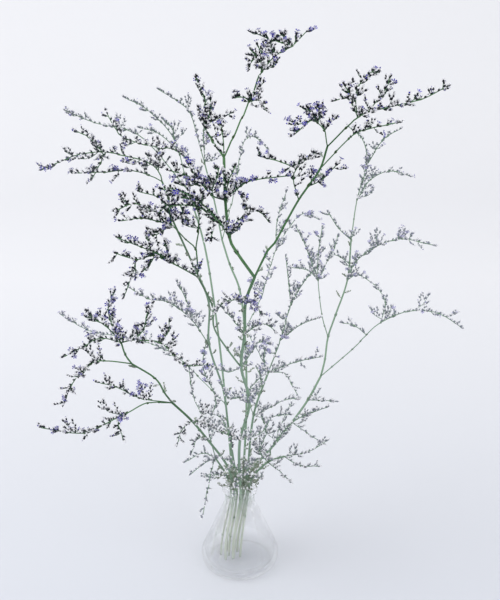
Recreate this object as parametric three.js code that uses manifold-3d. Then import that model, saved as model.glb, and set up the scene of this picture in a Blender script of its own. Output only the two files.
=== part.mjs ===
// Dried statice: flowering stems of sea lavender standing in a small conical glass vase.
// Millimetres, +Z up. The origin is the middle of the vase's flat foot.
import * as THREE from "three";
import { mergeVertices } from "three/addons/utils/BufferGeometryUtils.js";
import Module from "manifold-3d";

const wasm = await Module();
wasm.setup();

// Driving dimensions of the vase
const VASE_HEIGHT = 91;
const BODY_RADIUS = 40;
const FOOT_RADIUS = 31;
const WIDEST_HEIGHT = 11;
const CONE_START_HEIGHT = 17;
const CONE_START_RADIUS = 39;
const SHOULDER_HEIGHT = 68;
const SHOULDER_RADIUS = 17.8;
const NECK_RADIUS = 15.2;
const NECK_START_HEIGHT = 76;
const WALL = 2.8;
const FLOOR_THICKNESS = 5;
const FLOOR_RADIUS = 27;
const LIP_RADIUS = 2.8;
const LATHE_SEGMENTS = 24;
const CURVE_POINTS = 3;

// Driving dimensions of the stems
const FOOT_GAP = 0.45;
const STEM_FOOT = FLOOR_THICKNESS + FOOT_GAP;
const THICK_SIDES = 5;
const THIN_SIDES = 3;
const THICK_FROM_RADIUS = 0.95;
const NODE_STEP = 18;
const BARE_STEP = 30;

// Driving dimensions of the twigs and their florets
const TWIG_SIDES = 3;
const TWIG_PLACE = 0.2;
const TWIG_ROOT_DEPTH = 0.4;
const TWIG_LEAN_ROOT = 1.05;
const TWIG_LEAN_TIP = 0.7;
const TWIG_ROLL = 1;
const TWIG_ROLL_SPREAD = 0.5;
const TWIG_TAPER = 0.4;
const TWIG_SIZE = [0.6, 1.9];
const SHORTEST_TWIG = 7;
const TIP_TWIG = 4.5;
const TWIG_CLEARANCE = 0.5;
const BEND_CLEAR_TURNS = [0, 0.7, -0.7, 1.4, -1.4];
const FLORET_STEP = 10;
const FLORET_REACH = 3.5;
const FLORET_RISE = 2;
const THROAT_RADIUS = 0.5;
const MOUTH_RADIUS = 1.6;
const TIP_FLORET_DEPTH = 1.5;
const SIDE_ARM_ROOT = 0.5;

const UP = new THREE.Vector3(0, 0, 1);
const ACROSS = new THREE.Vector3(1, 0, 0);
const NEARLY_UPRIGHT = 0.97;
const NEARLY_PARALLEL = 1e-9;
const SAME_POINT = 1e-4;
const ROLL_DRAW = 1;
const SIZE_DRAW = 2;

// An arm is one bare or flowering axis of a stem: its radius at both ends, the share of its length
// where its twigs start, the length of its longest twig, and its route. A stem's first arm stands in
// the vase, and each other arm starts on a point of the arm that carries it.
const bare = (fromRadius, toRadius, route) => ({ fromRadius, toRadius, bloom: 1, twig: 0, route });
const spray = (fromRadius, toRadius, bloom, twig, route) => ({ fromRadius, toRadius, bloom, twig, route });

const CENTRAL_STEM = [
  bare(1.5, 1.15, [[-7, -6, STEM_FOOT], [-6, -7, 30], [1, -8.4, 82], [0, -19, 120], [1, -38, 169],
    [10, -62, 223], [3, -95, 277], [6, -115, 318], [7, -135, 356], [14, -152, 385]]),
  bare(1.15, 1.05, [[14, -152, 385], [1, -155, 406], [-5, -153, 418], [-8, -146, 445], [-9, -135, 475]]),
  // the topmost arm and its sprays
  spray(0.9, 0.5, 0.7, 7, [[-9, -135, 475], [10, -122, 514], [19, -112, 534], [31, -106, 546],
    [41, -103, 551], [54, -97, 562]]),
  spray(0.6, 0.5, 0.3, 11, [[19, -112, 534], [18, -114, 542], [11, -120, 552]]),
  spray(0.6, 0.5, 0.4, 9, [[18, -114, 542], [13, -119, 545], [10, -122, 540]]),
  spray(0.6, 0.5, 0.2, 8, [[18, -114, 542], [19, -115, 548], [16, -118, 555]]),
  spray(0.6, 0.5, 0.2, 8, [[31, -106, 546], [27, -104, 549], [24, -103, 552]]),
  spray(0.6, 0.5, 0.2, 9, [[41, -103, 551], [35, -104, 554], [27, -105, 556], [16, -106, 561]]),
  spray(0.6, 0.5, 0.4, 9, [[41, -103, 551], [38, -102, 556], [34, -103, 560]]),
  spray(0.6, 0.5, 0.2, 9, [[10, -122, 514], [6, -124, 518], [-1, -127, 518]]),
  spray(0.6, 0.5, 0.2, 9, [[10, -122, 514], [15, -119, 520], [20, -115, 527]]),
  spray(0.6, 0.5, 0.2, 9, [[10, -122, 514], [17, -126, 516], [23, -129, 509]]),
  spray(1.1, 0.5, 0.4, 13, [[-9, -135, 475], [-24, -110, 492], [-25, -85, 505], [-32, -66, 521]]),
  spray(0.6, 0.5, 0.2, 11, [[-24, -110, 492], [-19, -106, 495], [-11, -102, 497], [-3, -98, 500]]),
  spray(0.6, 0.5, 0.2, 9, [[-24, -110, 492], [-20, -98, 500], [-20, -92, 510]]),
  spray(0.7, 0.5, 0.4, 10, [[-9, -135, 475], [-10, -128, 493], [-15, -120, 502]]),
  // the sprays that crowd round the trunk's upper part
  spray(0.7, 0.5, 0.15, 12, [[-8, -146, 445], [3, -156, 459], [14, -165, 467], [38, -175, 473]]),
  spray(0.6, 0.5, 0.3, 13, [[-8, -146, 445], [-6, -152, 460], [0, -156, 475]]),
  spray(0.7, 0.5, 0.3, 12, [[-8, -146, 445], [-18, -152, 451], [-26, -158, 463], [-37, -162, 470],
    [-48, -165, 474]]),
  spray(0.6, 0.5, 0.2, 10, [[-18, -152, 451], [-17, -155, 459], [-13, -158, 467], [-13, -160, 474]]),
  spray(0.6, 0.5, 0.2, 9, [[-26, -158, 463], [-31, -160, 471], [-35, -162, 479]]),
  spray(0.6, 0.5, 0.2, 9, [[-26, -158, 463], [-35, -162, 461], [-43, -164, 464]]),
  spray(0.7, 0.5, 0.25, 13, [[-5, -153, 418], [-12, -161, 433], [-23, -170, 449], [-35, -176, 460],
    [-49, -180, 466]]),
  spray(0.7, 0.5, 0.25, 12, [[-5, -153, 418], [-15, -162, 437], [-27, -168, 447], [-40, -174, 451],
    [-52, -178, 450]]),
  spray(0.6, 0.5, 0.2, 8, [[-27, -168, 447], [-34, -172, 455], [-40, -175, 457]]),
  spray(0.6, 0.5, 0.2, 7, [[-40, -174, 451], [-38, -174, 445], [-35, -174, 439]]),
  spray(0.6, 0.5, 0.2, 8, [[-15, -162, 437], [-17, -164, 429], [-18, -166, 422]]),
  spray(0.6, 0.5, 0.2, 10, [[-5, -153, 418], [1, -140, 426], [9, -128, 429], [18, -120, 427],
    [25, -114, 417]]),
  spray(0.6, 0.5, 0.2, 9, [[9, -128, 429], [7, -126, 435], [4, -124, 441]]),
  // the right arm and its sprays
  bare(0.85, 0.75, [[14, -152, 385], [24, -152, 407], [29, -150, 412], [38, -148, 429], [47, -145, 445],
    [54, -143, 455], [63, -140, 468], [68, -137, 484]]),
  spray(0.8, 0.5, 0.4, 12, [[68, -137, 484], [81, -135, 497], [90, -133, 505], [97, -131, 508],
    [109, -130, 511], [136, -128, 517], [156, -125, 526]]),
  spray(0.6, 0.5, 0.5, 11, [[63, -140, 468], [82, -150, 493], [92, -152, 500], [118, -155, 507]]),
  spray(0.6, 0.5, 0.5, 12, [[68, -137, 484], [65, -142, 497], [60, -146, 504], [54, -150, 507],
    [49, -154, 503], [41, -158, 498]]),
  spray(0.55, 0.5, 0.2, 8, [[60, -146, 504], [56, -146, 510], [52, -146, 515]]),
  spray(0.55, 0.5, 0.2, 8, [[60, -146, 504], [61, -143, 510], [60, -141, 515]]),
  spray(0.55, 0.5, 0.2, 8, [[65, -142, 497], [69, -138, 503], [73, -136, 505]]),
  spray(0.6, 0.5, 0.4, 9, [[90, -133, 505], [86, -134, 514], [81, -135, 520], [72, -136, 518]]),
  spray(0.6, 0.5, 0.3, 8, [[86, -134, 514], [83, -134, 523], [79, -133, 529]]),
  spray(0.6, 0.5, 0.45, 8, [[90, -133, 505], [88, -131, 518], [90, -130, 528], [95, -128, 534],
    [101, -126, 538]]),
  spray(0.6, 0.5, 0.4, 8, [[97, -131, 508], [105, -128, 517], [111, -125, 525], [114, -122, 533]]),
  spray(0.6, 0.5, 0.2, 11, [[47, -145, 445], [43, -142, 460], [45, -140, 468], [51, -138, 475],
    [59, -136, 479]]),
  spray(0.6, 0.5, 0.2, 11, [[45, -140, 468], [34, -144, 474], [18, -146, 479]]),
  spray(0.6, 0.5, 0.2, 11, [[54, -143, 455], [64, -140, 459], [77, -136, 471]]),
  // the left arm, which arches over into the densest sprays
  bare(0.8, 0.7, [[3, -95, 277], [-8, -104, 298], [-19, -115, 324], [-20, -125, 349], [-30, -142, 381]]),
  spray(0.75, 0.5, 0.3, 11, [[-30, -142, 381], [-47, -155, 397], [-61, -163, 407], [-74, -170, 407],
    [-88, -176, 414]]),
  spray(0.6, 0.5, 0.2, 12, [[-47, -155, 397], [-58, -166, 410], [-69, -174, 418], [-86, -180, 428]]),
  spray(0.6, 0.5, 0.2, 9, [[-47, -155, 397], [-52, -156, 407], [-53, -158, 416]]),
  spray(0.6, 0.5, 0.2, 9, [[-61, -163, 407], [-64, -166, 417], [-66, -168, 425]]),
  spray(0.6, 0.5, 0.2, 7, [[-61, -163, 407], [-65, -163, 400], [-70, -163, 395]]),
  spray(0.6, 0.5, 0.3, 11, [[-74, -170, 407], [-78, -173, 394], [-84, -175, 379]]),
  spray(0.8, 0.5, 0.65, 13, [[-30, -142, 381], [-31, -146, 405], [-38, -150, 415], [-48, -156, 429],
    [-59, -162, 441], [-73, -168, 450], [-87, -172, 446]]),
  spray(0.6, 0.5, 0.2, 11, [[-48, -156, 429], [-50, -163, 445], [-56, -169, 455], [-69, -174, 461]]),
  spray(0.6, 0.5, 0.3, 11, [[-48, -156, 429], [-57, -165, 435], [-68, -172, 440], [-83, -177, 440]]),
  spray(0.6, 0.5, 0.2, 9, [[-48, -156, 429], [-56, -162, 426], [-61, -166, 424], [-65, -168, 430]]),
  spray(0.7, 0.5, 0.5, 13, [[-31, -146, 405], [-29, -150, 421], [-28, -154, 439], [-37, -160, 453],
    [-54, -168, 461]]),
  // the short sprays low on the trunk
  spray(0.55, 0.5, 0.2, 9, [[7, -135, 356], [-2, -138, 360], [-11, -142, 359], [-16, -146, 353]]),
  spray(0.55, 0.5, 0.2, 9, [[7, -135, 356], [15, -141, 358], [19, -147, 352]]),
  spray(0.55, 0.5, 0.2, 10, [[6, -115, 318], [15, -118, 327], [24, -122, 331], [31, -126, 326]]),
  spray(0.55, 0.5, 0.2, 9, [[6, -115, 318], [-2, -107, 326], [-13, -96, 334]]),
  spray(0.55, 0.5, 0.2, 10, [[3, -95, 277], [12, -92, 290], [18, -88, 298], [27, -84, 294]]),
  spray(0.55, 0.5, 0.2, 9, [[3, -95, 277], [-7, -99, 275], [-18, -106, 281]]),
  spray(0.55, 0.5, 0.2, 11, [[10, -62, 223], [0, -66, 231], [-9, -71, 233], [-16, -78, 252]]),
  spray(0.55, 0.5, 0.2, 10, [[10, -62, 223], [18, -64, 236], [21, -66, 249], [16, -68, 263]]),
  spray(0.55, 0.5, 0.2, 11, [[1, -38, 169], [-10, -41, 181], [-17, -43, 197], [-27, -45, 202]]),
  spray(0.55, 0.5, 0.2, 11, [[1, -38, 169], [13, -45, 177], [23, -51, 187], [29, -56, 203]]),
  spray(0.55, 0.5, 0.2, 9, [[0, -19, 120], [-8, -28, 138], [-16, -36, 147]]),
  spray(0.55, 0.5, 0.2, 10, [[0, -19, 120], [12, -28, 137], [22, -34, 146], [33, -37, 146]]),
  spray(0.55, 0.5, 0.2, 9, [[0, -19, 120], [0, -29, 118], [-5, -38, 108]]),
];

const LEFT_ARCHING_STEM = [
  bare(1.2, 0.75, [[-12, -1, STEM_FOOT], [-10, -2, 30], [-3, -3, 80], [-5, -10, 120], [-10, -28, 175],
    [-14, -50, 230], [-25, -78, 290], [-24, -98, 340], [-36, -120, 385], [-49, -130, 423]]),
  bare(0.8, 0.7, [[-49, -130, 423], [-52, -128, 440], [-57, -122, 452]]),
  spray(0.6, 0.5, 0.6, 10, [[-57, -122, 452], [-67, -118, 456], [-84, -114, 459], [-102, -110, 456],
    [-127, -106, 454]]),
  spray(0.65, 0.5, 0.3, 13, [[-57, -122, 452], [-60, -118, 460], [-70, -115, 466], [-90, -110, 470],
    [-104, -106, 471], [-123, -103, 468], [-138, -102, 462], [-153, -100, 455]]),
  spray(0.6, 0.5, 0.35, 10, [[-60, -118, 460], [-60, -108, 474], [-75, -104, 477], [-91, -98, 483],
    [-101, -94, 500]]),
  spray(0.6, 0.5, 0.3, 10, [[-60, -108, 474], [-50, -104, 473], [-37, -100, 463]]),
  spray(0.6, 0.5, 0.15, 11, [[-104, -106, 471], [-113, -103, 481], [-125, -99, 486]]),
  spray(0.55, 0.5, 0.3, 8, [[-104, -106, 471], [-105, -110, 464], [-112, -114, 452]]),
  spray(0.6, 0.5, 0.3, 12, [[-25, -78, 290], [-40, -84, 318], [-58, -92, 337], [-74, -100, 344],
    [-89, -104, 356]]),
  spray(0.6, 0.5, 0.3, 12, [[-40, -84, 318], [-43, -84, 334], [-50, -88, 354]]),
];

const LOW_LEFT_STEM = [
  bare(1.3, 1, [[-15, -8, STEM_FOOT], [-14, -8, 30], [-6.3, -6.8, 82], [-8.2, -10.5, 108],
    [-14, -22, 134], [-29, -48, 175], [-42, -75, 212], [-57, -100, 245]]),
  spray(0.8, 0.5, 0.55, 15, [[-57, -100, 245], [-76, -118, 255], [-92, -132, 254], [-113, -146, 249],
    [-125, -152, 246], [-140, -160, 252], [-157, -168, 261]]),
  spray(0.55, 0.5, 0.3, 8, [[-92, -132, 254], [-100, -136, 249], [-96, -138, 232]]),
  spray(0.6, 0.5, 0.45, 12, [[-57, -100, 245], [-74, -106, 251], [-84, -110, 255], [-102, -114, 268],
    [-118, -118, 275]]),
  bare(0.85, 0.75, [[-57, -100, 245], [-62, -112, 261], [-68, -128, 284], [-85, -142, 305]]),
  spray(0.75, 0.5, 0.3, 16, [[-85, -142, 305], [-105, -152, 313], [-115, -157, 313], [-123, -161, 307],
    [-132, -164, 296], [-138, -166, 281]]),
  bare(0.8, 0.7, [[-85, -142, 305], [-89, -148, 316], [-91, -154, 330]]),
  spray(0.6, 0.5, 0.15, 12, [[-91, -154, 330], [-106, -160, 337], [-120, -164, 331], [-134, -168, 325]]),
  spray(0.6, 0.5, 0.2, 12, [[-91, -154, 330], [-97, -156, 346], [-99, -158, 362], [-93, -160, 377]]),
  spray(0.6, 0.5, 0.25, 11, [[-91, -154, 330], [-101, -160, 347], [-111, -162, 355], [-114, -163, 361]]),
  spray(0.65, 0.5, 0.2, 12, [[-91, -154, 330], [-79, -166, 338], [-58, -180, 343], [-48, -188, 337],
    [-39, -194, 331], [-20, -200, 334]]),
  spray(0.6, 0.5, 0.2, 8, [[-79, -166, 338], [-71, -172, 350], [-68, -174, 361], [-66, -176, 370]]),
  spray(0.6, 0.5, 0.2, 8, [[-58, -180, 343], [-51, -183, 354], [-50, -185, 364]]),
  spray(0.6, 0.5, 0.4, 12, [[-42, -75, 212], [-30, -86, 216], [-14, -96, 213], [0, -106, 212]]),
  spray(0.6, 0.5, 0.4, 8, [[-42, -75, 212], [-51, -82, 207], [-55, -86, 194]]),
  spray(0.55, 0.5, 0.2, 9, [[-29, -48, 175], [-38, -56, 183], [-44, -62, 170]]),
];

const RIGHT_BACK_STEM = [
  bare(1.3, 1.1, [[-3, 6, STEM_FOOT], [-1, 6, 30], [7.8, 4.9, 82], [11.2, 7.4, 104], [36, 15, 132],
    [53, 22, 153], [69, 32, 173], [82, 40, 196]]),
  bare(0.95, 0.8, [[82, 40, 196], [86, 45, 212], [89, 52, 234], [96, 58, 255], [108, 70, 289],
    [111, 80, 328]]),
  spray(0.75, 0.5, 0.45, 14, [[111, 80, 328], [116, 88, 367], [124, 92, 400], [121, 96, 424],
    [106, 104, 437]]),
  spray(0.65, 0.5, 0.6, 11, [[89, 52, 234], [82, 50, 260], [77, 46, 298], [76, 43, 326], [79, 40, 356]]),
  spray(0.55, 0.5, 0.45, 10, [[77, 46, 298], [68, 42, 325], [61, 38, 343], [54, 36, 358]]),
  spray(0.55, 0.5, 0.45, 12, [[77, 46, 298], [86, 49, 318], [92, 51, 330], [95, 52, 343]]),
  spray(0.55, 0.5, 0.3, 10, [[77, 46, 298], [67, 44, 310], [49, 40, 315]]),
  spray(0.6, 0.5, 0.3, 12, [[116, 88, 367], [127, 80, 390], [145, 74, 401], [164, 70, 397]]),
  spray(0.6, 0.5, 0.3, 12, [[124, 92, 400], [138, 86, 428], [154, 80, 441]]),
  spray(0.65, 0.5, 0.25, 16, [[108, 70, 289], [114, 60, 312], [131, 45, 334], [154, 32, 347],
    [183, 20, 345]]),
  spray(0.6, 0.5, 0.25, 14, [[111, 80, 328], [98, 74, 342], [86, 66, 362]]),
  spray(0.6, 0.5, 0.3, 10, [[108, 70, 289], [111, 66, 304], [100, 60, 317], [89, 56, 323]]),
  spray(0.7, 0.5, 0.6, 16, [[82, 40, 196], [110, 20, 236], [122, 8, 258], [133, -5, 277],
    [155, -25, 298], [179, -42, 304], [198, -55, 296]]),
  spray(0.6, 0.5, 0.3, 10, [[122, 8, 258], [111, 12, 266], [99, 16, 267]]),
  spray(0.6, 0.5, 0.2, 12, [[133, -5, 277], [137, -2, 296], [129, 0, 312]]),
  spray(0.6, 0.5, 0.3, 11, [[108, 70, 289], [118, 62, 298], [136, 52, 289]]),
  spray(0.55, 0.5, 0.2, 10, [[69, 32, 173], [79, 26, 176], [92, 20, 179]]),
  spray(0.55, 0.5, 0.2, 10, [[53, 22, 153], [67, 14, 146], [84, 6, 138]]),
  spray(0.55, 0.5, 0.2, 10, [[36, 15, 132], [41, 22, 148], [52, 32, 169]]),
];

const RIGHT_STEM = [
  bare(1.3, 1, [[-7, 1, STEM_FOOT], [-5, 1, 30], [3.5, 0, 80], [8, -1, 110], [14, 0, 174],
    [28, -4, 224]]),
  spray(0.85, 0.5, 0.35, 15, [[28, -4, 224], [39, -10, 261], [48, -18, 301], [60, -26, 329],
    [72, -32, 347]]),
  spray(0.6, 0.5, 0.2, 15, [[48, -18, 301], [46, -14, 320], [43, -10, 346]]),
  spray(0.6, 0.5, 0.3, 12, [[39, -10, 261], [57, -20, 282], [74, -28, 293]]),
  spray(0.6, 0.5, 0.3, 12, [[28, -4, 224], [53, -18, 242], [76, -30, 254]]),
  spray(0.6, 0.5, 0.3, 12, [[14, 0, 174], [8, -12, 205], [22, -22, 232], [24, -30, 262]]),
  spray(0.55, 0.5, 0.2, 10, [[28, -4, 224], [43, -10, 226], [50, -16, 218], [56, -20, 207]]),
  spray(0.55, 0.5, 0.2, 10, [[28, -4, 224], [21, -1, 239], [10, 6, 258]]),
  spray(0.55, 0.5, 0.2, 10, [[14, 0, 174], [31, 0, 183], [44, 2, 190], [58, 4, 191]]),
  spray(0.55, 0.5, 0.2, 10, [[14, 0, 174], [27, -6, 174], [38, -12, 181], [50, -16, 184]]),
];

const BACK_STEM = [
  bare(1.3, 0.9, [[-6, 11, STEM_FOOT], [-5, 11, 30], [2, 9, 80], [4, 13, 104], [7, 40, 169],
    [5, 72, 232], [0, 90, 269], [-10, 100, 293], [-18, 108, 317]]),
  bare(0.8, 0.7, [[-18, 108, 317], [-26, 118, 357], [-35, 128, 391]]),
  spray(0.65, 0.5, 0.3, 14, [[-35, 128, 391], [-36, 130, 425], [-32, 134, 449], [-40, 138, 471]]),
  spray(0.65, 0.5, 0.3, 12, [[-35, 128, 391], [-42, 127, 420], [-49, 126, 445], [-61, 124, 457],
    [-79, 122, 469]]),
  spray(0.65, 0.5, 0.5, 12, [[-26, 118, 357], [-49, 112, 396], [-77, 106, 428], [-97, 102, 436]]),
  spray(0.65, 0.5, 0.5, 13, [[-18, 108, 317], [-5, 120, 367], [0, 126, 397], [6, 130, 417],
    [17, 132, 418], [28, 134, 406]]),
  spray(0.65, 0.5, 0.35, 14, [[5, 72, 232], [22, 88, 262], [37, 100, 309], [61, 106, 345],
    [80, 108, 340]]),
  spray(0.6, 0.5, 0.3, 12, [[37, 100, 309], [38, 104, 340], [48, 108, 372]]),
];

const BACK_LEFT_STEM = [
  bare(1.3, 0.85, [[-14, 7, STEM_FOOT], [-13, 7, 30], [-5.5, 7, 80], [-8, 12, 106], [-14, 32, 168],
    [-22, 56, 240], [-34, 76, 320], [-50, 86, 377]]),
  spray(0.7, 0.5, 0.5, 13, [[-50, 86, 377], [-85, 80, 425], [-106, 72, 442], [-134, 66, 450],
    [-160, 60, 463]]),
  spray(0.65, 0.5, 0.5, 13, [[-50, 86, 377], [-62, 86, 428], [-86, 82, 458], [-107, 78, 471]]),
  spray(0.6, 0.5, 0.25, 10, [[-62, 86, 428], [-64, 80, 442], [-72, 74, 452]]),
  spray(0.65, 0.5, 0.4, 12, [[-14, 32, 168], [-69, 42, 222], [-119, 44, 238], [-151, 44, 246],
    [-176, 42, 264]]),
];

const LOW_RIGHT_STEM = [
  bare(1.2, 0.9, [[0, -3, STEM_FOOT], [2, -3, 30], [8.6, -3.8, 82], [12.3, -5.3, 104], [28, -10, 126],
    [44, -18, 138]]),
  spray(0.65, 0.5, 0.2, 12, [[44, -18, 138], [60, -18, 141], [72, -18, 146], [86, -18, 156]]),
  spray(0.65, 0.5, 0.2, 12, [[44, -18, 138], [59, -28, 134], [77, -34, 137]]),
  spray(0.65, 0.5, 0.25, 14, [[28, -10, 126], [34, -20, 154], [55, -30, 187], [83, -38, 205]]),
  spray(0.65, 0.5, 0.25, 12, [[28, -10, 126], [20, -26, 150], [26, -38, 178], [20, -50, 205]]),
  spray(0.55, 0.5, 0.2, 9, [[28, -10, 126], [40, -24, 124], [50, -36, 120]]),
  spray(0.55, 0.5, 0.2, 9, [[12.3, -5.3, 104], [17, -15, 112], [22, -26, 117]]),
];

const LOW_FRONT_LEFT_STEM = [
  bare(1.2, 0.9, [[-20, 1, STEM_FOOT], [-18, 1, 30], [-9, 0.5, 80], [-13, -1, 104], [-24, -8, 130]]),
  spray(0.65, 0.5, 0.3, 11, [[-24, -8, 130], [-36, -20, 143], [-52, -34, 142]]),
  spray(0.65, 0.5, 0.35, 11, [[-24, -8, 130], [-27, -24, 128], [-31, -40, 112], [-36, -46, 88]]),
  spray(0.65, 0.5, 0.2, 12, [[-24, -8, 130], [-30, -14, 170], [-22, -24, 205], [-33, -34, 245],
    [-28, -40, 280]]),
  spray(0.6, 0.5, 0.2, 12, [[-30, -14, 170], [-44, -10, 200], [-48, -6, 230]]),
  spray(0.55, 0.5, 0.2, 9, [[-24, -8, 130], [-36, 0, 118], [-50, 8, 100]]),
  spray(0.55, 0.5, 0.2, 9, [[-13, -1, 104], [-22, -6, 109], [-33, -12, 110]]),
];

const STEMS = {
  central_stem: CENTRAL_STEM,
  left_arching_stem: LEFT_ARCHING_STEM,
  low_left_stem: LOW_LEFT_STEM,
  right_back_stem: RIGHT_BACK_STEM,
  right_stem: RIGHT_STEM,
  back_stem: BACK_STEM,
  back_left_stem: BACK_LEFT_STEM,
  low_right_stem: LOW_RIGHT_STEM,
  low_front_left_stem: LOW_FRONT_LEFT_STEM,
};

const GLASS = new THREE.MeshStandardMaterial({ color: 0xdfe8e8, roughness: 0.05, metalness: 0 });
const STEM_GREEN = 0x5a8560;

// A repeatable draw from 0 to 1 for one twig of one arm, the same in every build
function draw(arm, place, purpose) {
  const mixed = Math.sin(arm * 12.9898 + place * 78.233 + purpose * 37.719) * 43758.5453;
  return mixed - Math.floor(mixed);
}

// A closed geometry as a solid that can be joined
function solidFrom(geometry) {
  geometry.deleteAttribute("normal");
  geometry.deleteAttribute("uv");
  const merged = mergeVertices(geometry, SAME_POINT);
  return new wasm.Manifold(new wasm.Mesh({
    numProp: 3,
    vertProperties: Float32Array.from(merged.attributes.position.array),
    triVerts: Uint32Array.from(merged.index.array),
  }));
}

function geometryFrom(solid) {
  const mesh = solid.getMesh();
  const geometry = new THREE.BufferGeometry();
  geometry.setAttribute("position", new THREE.BufferAttribute(mesh.vertProperties, 3));
  geometry.setIndex(new THREE.BufferAttribute(mesh.triVerts, 1));
  geometry.computeVertexNormals();
  return geometry;
}

// The two directions square to another: one to the side and one rising as steeply as it can
function squareTo(along) {
  const reference = Math.abs(along.z) > NEARLY_UPRIGHT ? ACROSS : UP;
  const side = new THREE.Vector3().crossVectors(along, reference).normalize();
  const rise = new THREE.Vector3().crossVectors(side, along);
  return { side, rise };
}

// The upper side of an arm at each of its points, carried along it without twisting
function risesAlong(tangents) {
  let { rise } = squareTo(tangents[0]);
  return tangents.map((along) => {
    rise = rise.clone().addScaledVector(along, -rise.dot(along)).normalize();
    return rise;
  });
}

// A direction that leans off another by an angle, rolled round it from its upper side
function leaning(along, rise, lean, roll) {
  const side = new THREE.Vector3().crossVectors(along, rise);
  const direction = along.clone().multiplyScalar(Math.cos(lean));
  direction.addScaledVector(rise, Math.sin(lean) * Math.cos(roll));
  direction.addScaledVector(side, Math.sin(lean) * Math.sin(roll));
  return direction.normalize();
}

// A closed skin over rings of corners that turn the same way round the line from the first ring to the
// last. The first ring may be a single point.
function lofted(rings) {
  const sides = rings[1].length;
  const isPointed = rings[0].length === 1;
  const starts = rings.map((_, ring) => (isPointed ? Math.max(0, 1 + (ring - 1) * sides) : ring * sides));
  const last = starts[starts.length - 1];
  const index = [];
  for (let ring = 0; ring < rings.length - 1; ring++) {
    for (let corner = 0; corner < sides; corner++) {
      const nextCorner = (corner + 1) % sides;
      const above = starts[ring + 1] + corner;
      const nextAbove = starts[ring + 1] + nextCorner;
      if (ring === 0 && isPointed) {
        index.push(0, nextAbove, above);
      } else {
        index.push(starts[ring] + corner, starts[ring] + nextCorner, nextAbove);
        index.push(starts[ring] + corner, nextAbove, above);
      }
    }
  }
  for (let corner = 1; corner < sides - 1; corner++) {
    index.push(last, last + corner, last + corner + 1);
    if (!isPointed) {
      index.push(0, corner + 1, corner);
    }
  }
  const geometry = new THREE.BufferGeometry().setFromPoints(rings.flat());
  geometry.setIndex(index);
  return geometry;
}

// A regular polygon of corners with the area of a circle, from one direction towards another
function ringOf(middle, radius, sides, first, second) {
  const reach = radius * Math.sqrt((2 * Math.PI) / (sides * Math.sin((2 * Math.PI) / sides)));
  return Array.from({ length: sides }, (_, corner) => {
    const angle = (2 * Math.PI * corner) / sides;
    return middle.clone()
      .addScaledVector(first, reach * Math.cos(angle))
      .addScaledVector(second, reach * Math.sin(angle));
  });
}

// An arm as a tapering tube with one of its edges along its upper side
function tubeOf(arm) {
  const sides = arm.fromRadius >= THICK_FROM_RADIUS ? THICK_SIDES : THIN_SIDES;
  const last = arm.points.length - 1;
  return lofted(arm.points.map((point, place) => {
    const side = new THREE.Vector3().crossVectors(arm.tangents[place], arm.rises[place]);
    const narrowed = place === 0 && arm.isSideArm ? SIDE_ARM_ROOT : 1;
    const radius = THREE.MathUtils.lerp(arm.fromRadius, arm.toRadius, place / last) * narrowed;
    return ringOf(point, radius, sides, arm.rises[place], side);
  }));
}

// The shortest distance between two straight pieces
function distanceBetween(first, second) {
  const u = first.to.clone().sub(first.from);
  const v = second.to.clone().sub(second.from);
  const w = first.from.clone().sub(second.from);
  const a = u.dot(u);
  const b = u.dot(v);
  const c = v.dot(v);
  const d = u.dot(w);
  const e = v.dot(w);
  const spread = a * c - b * b;
  let s = spread > NEARLY_PARALLEL ? THREE.MathUtils.clamp((b * e - c * d) / spread, 0, 1) : 0;
  const t = THREE.MathUtils.clamp((b * s + e) / c, 0, 1);
  s = THREE.MathUtils.clamp((b * t - d) / a, 0, 1);
  return w.addScaledVector(u, s).addScaledVector(v, -t).length();
}

// Whether a straight piece keeps its clearance to everything placed on the other stems
function isClear(piece, placed, clearance) {
  return placed.every((other) => other.stem === piece.stem
    || distanceBetween(piece, other) > piece.radius + other.radius + clearance);
}

// The arms of a stem, each with the points of its curve: every point of its route and even steps between
function armsOf(stem, routes, firstNumber) {
  return routes.map((arm, index) => {
    const corners = arm.route.map((place) => new THREE.Vector3(...place));
    const curve = new THREE.CatmullRomCurve3(corners, false, "catmullrom", 0.5);
    const spans = corners.length - 1;
    const longest = arm.bloom < 1 ? NODE_STEP : BARE_STEP;
    const shares = [0];
    for (let span = 0; span < spans; span++) {
      const steps = Math.max(1, Math.round(corners[span].distanceTo(corners[span + 1]) / longest));
      for (let step = 1; step <= steps; step++) {
        shares.push((span + step / steps) / spans);
      }
    }
    const points = shares.map((share) => curve.getPoint(share));
    const tangents = shares.map((share) => curve.getTangent(share));
    const number = firstNumber + index;
    return { ...arm, stem, number, isSideArm: index > 0, points, tangents, rises: risesAlong(tangents) };
  });
}

function stretchesOf(arm) {
  const last = arm.points.length - 1;
  return arm.points.slice(1).map((to, place) => {
    const radius = THREE.MathUtils.lerp(arm.fromRadius, arm.toRadius, place / last);
    return { stem: arm.stem, from: arm.points[place], to, radius };
  });
}

// A twig that leaves a point of an arm and is bent clear of the other stems, or nothing where no way is clear
function clearTwig(arm, from, place, lean, roll, length, placed) {
  const ways = BEND_CLEAR_TURNS.map((turn) => {
    const direction = leaning(arm.tangents[place], arm.rises[place], lean, roll + turn);
    const to = from.clone().addScaledVector(direction, length);
    return { stem: arm.stem, from, to, direction, length, radius: FLORET_REACH };
  });
  return ways.find((twig) => isClear(twig, placed, TWIG_CLEARANCE));
}

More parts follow.
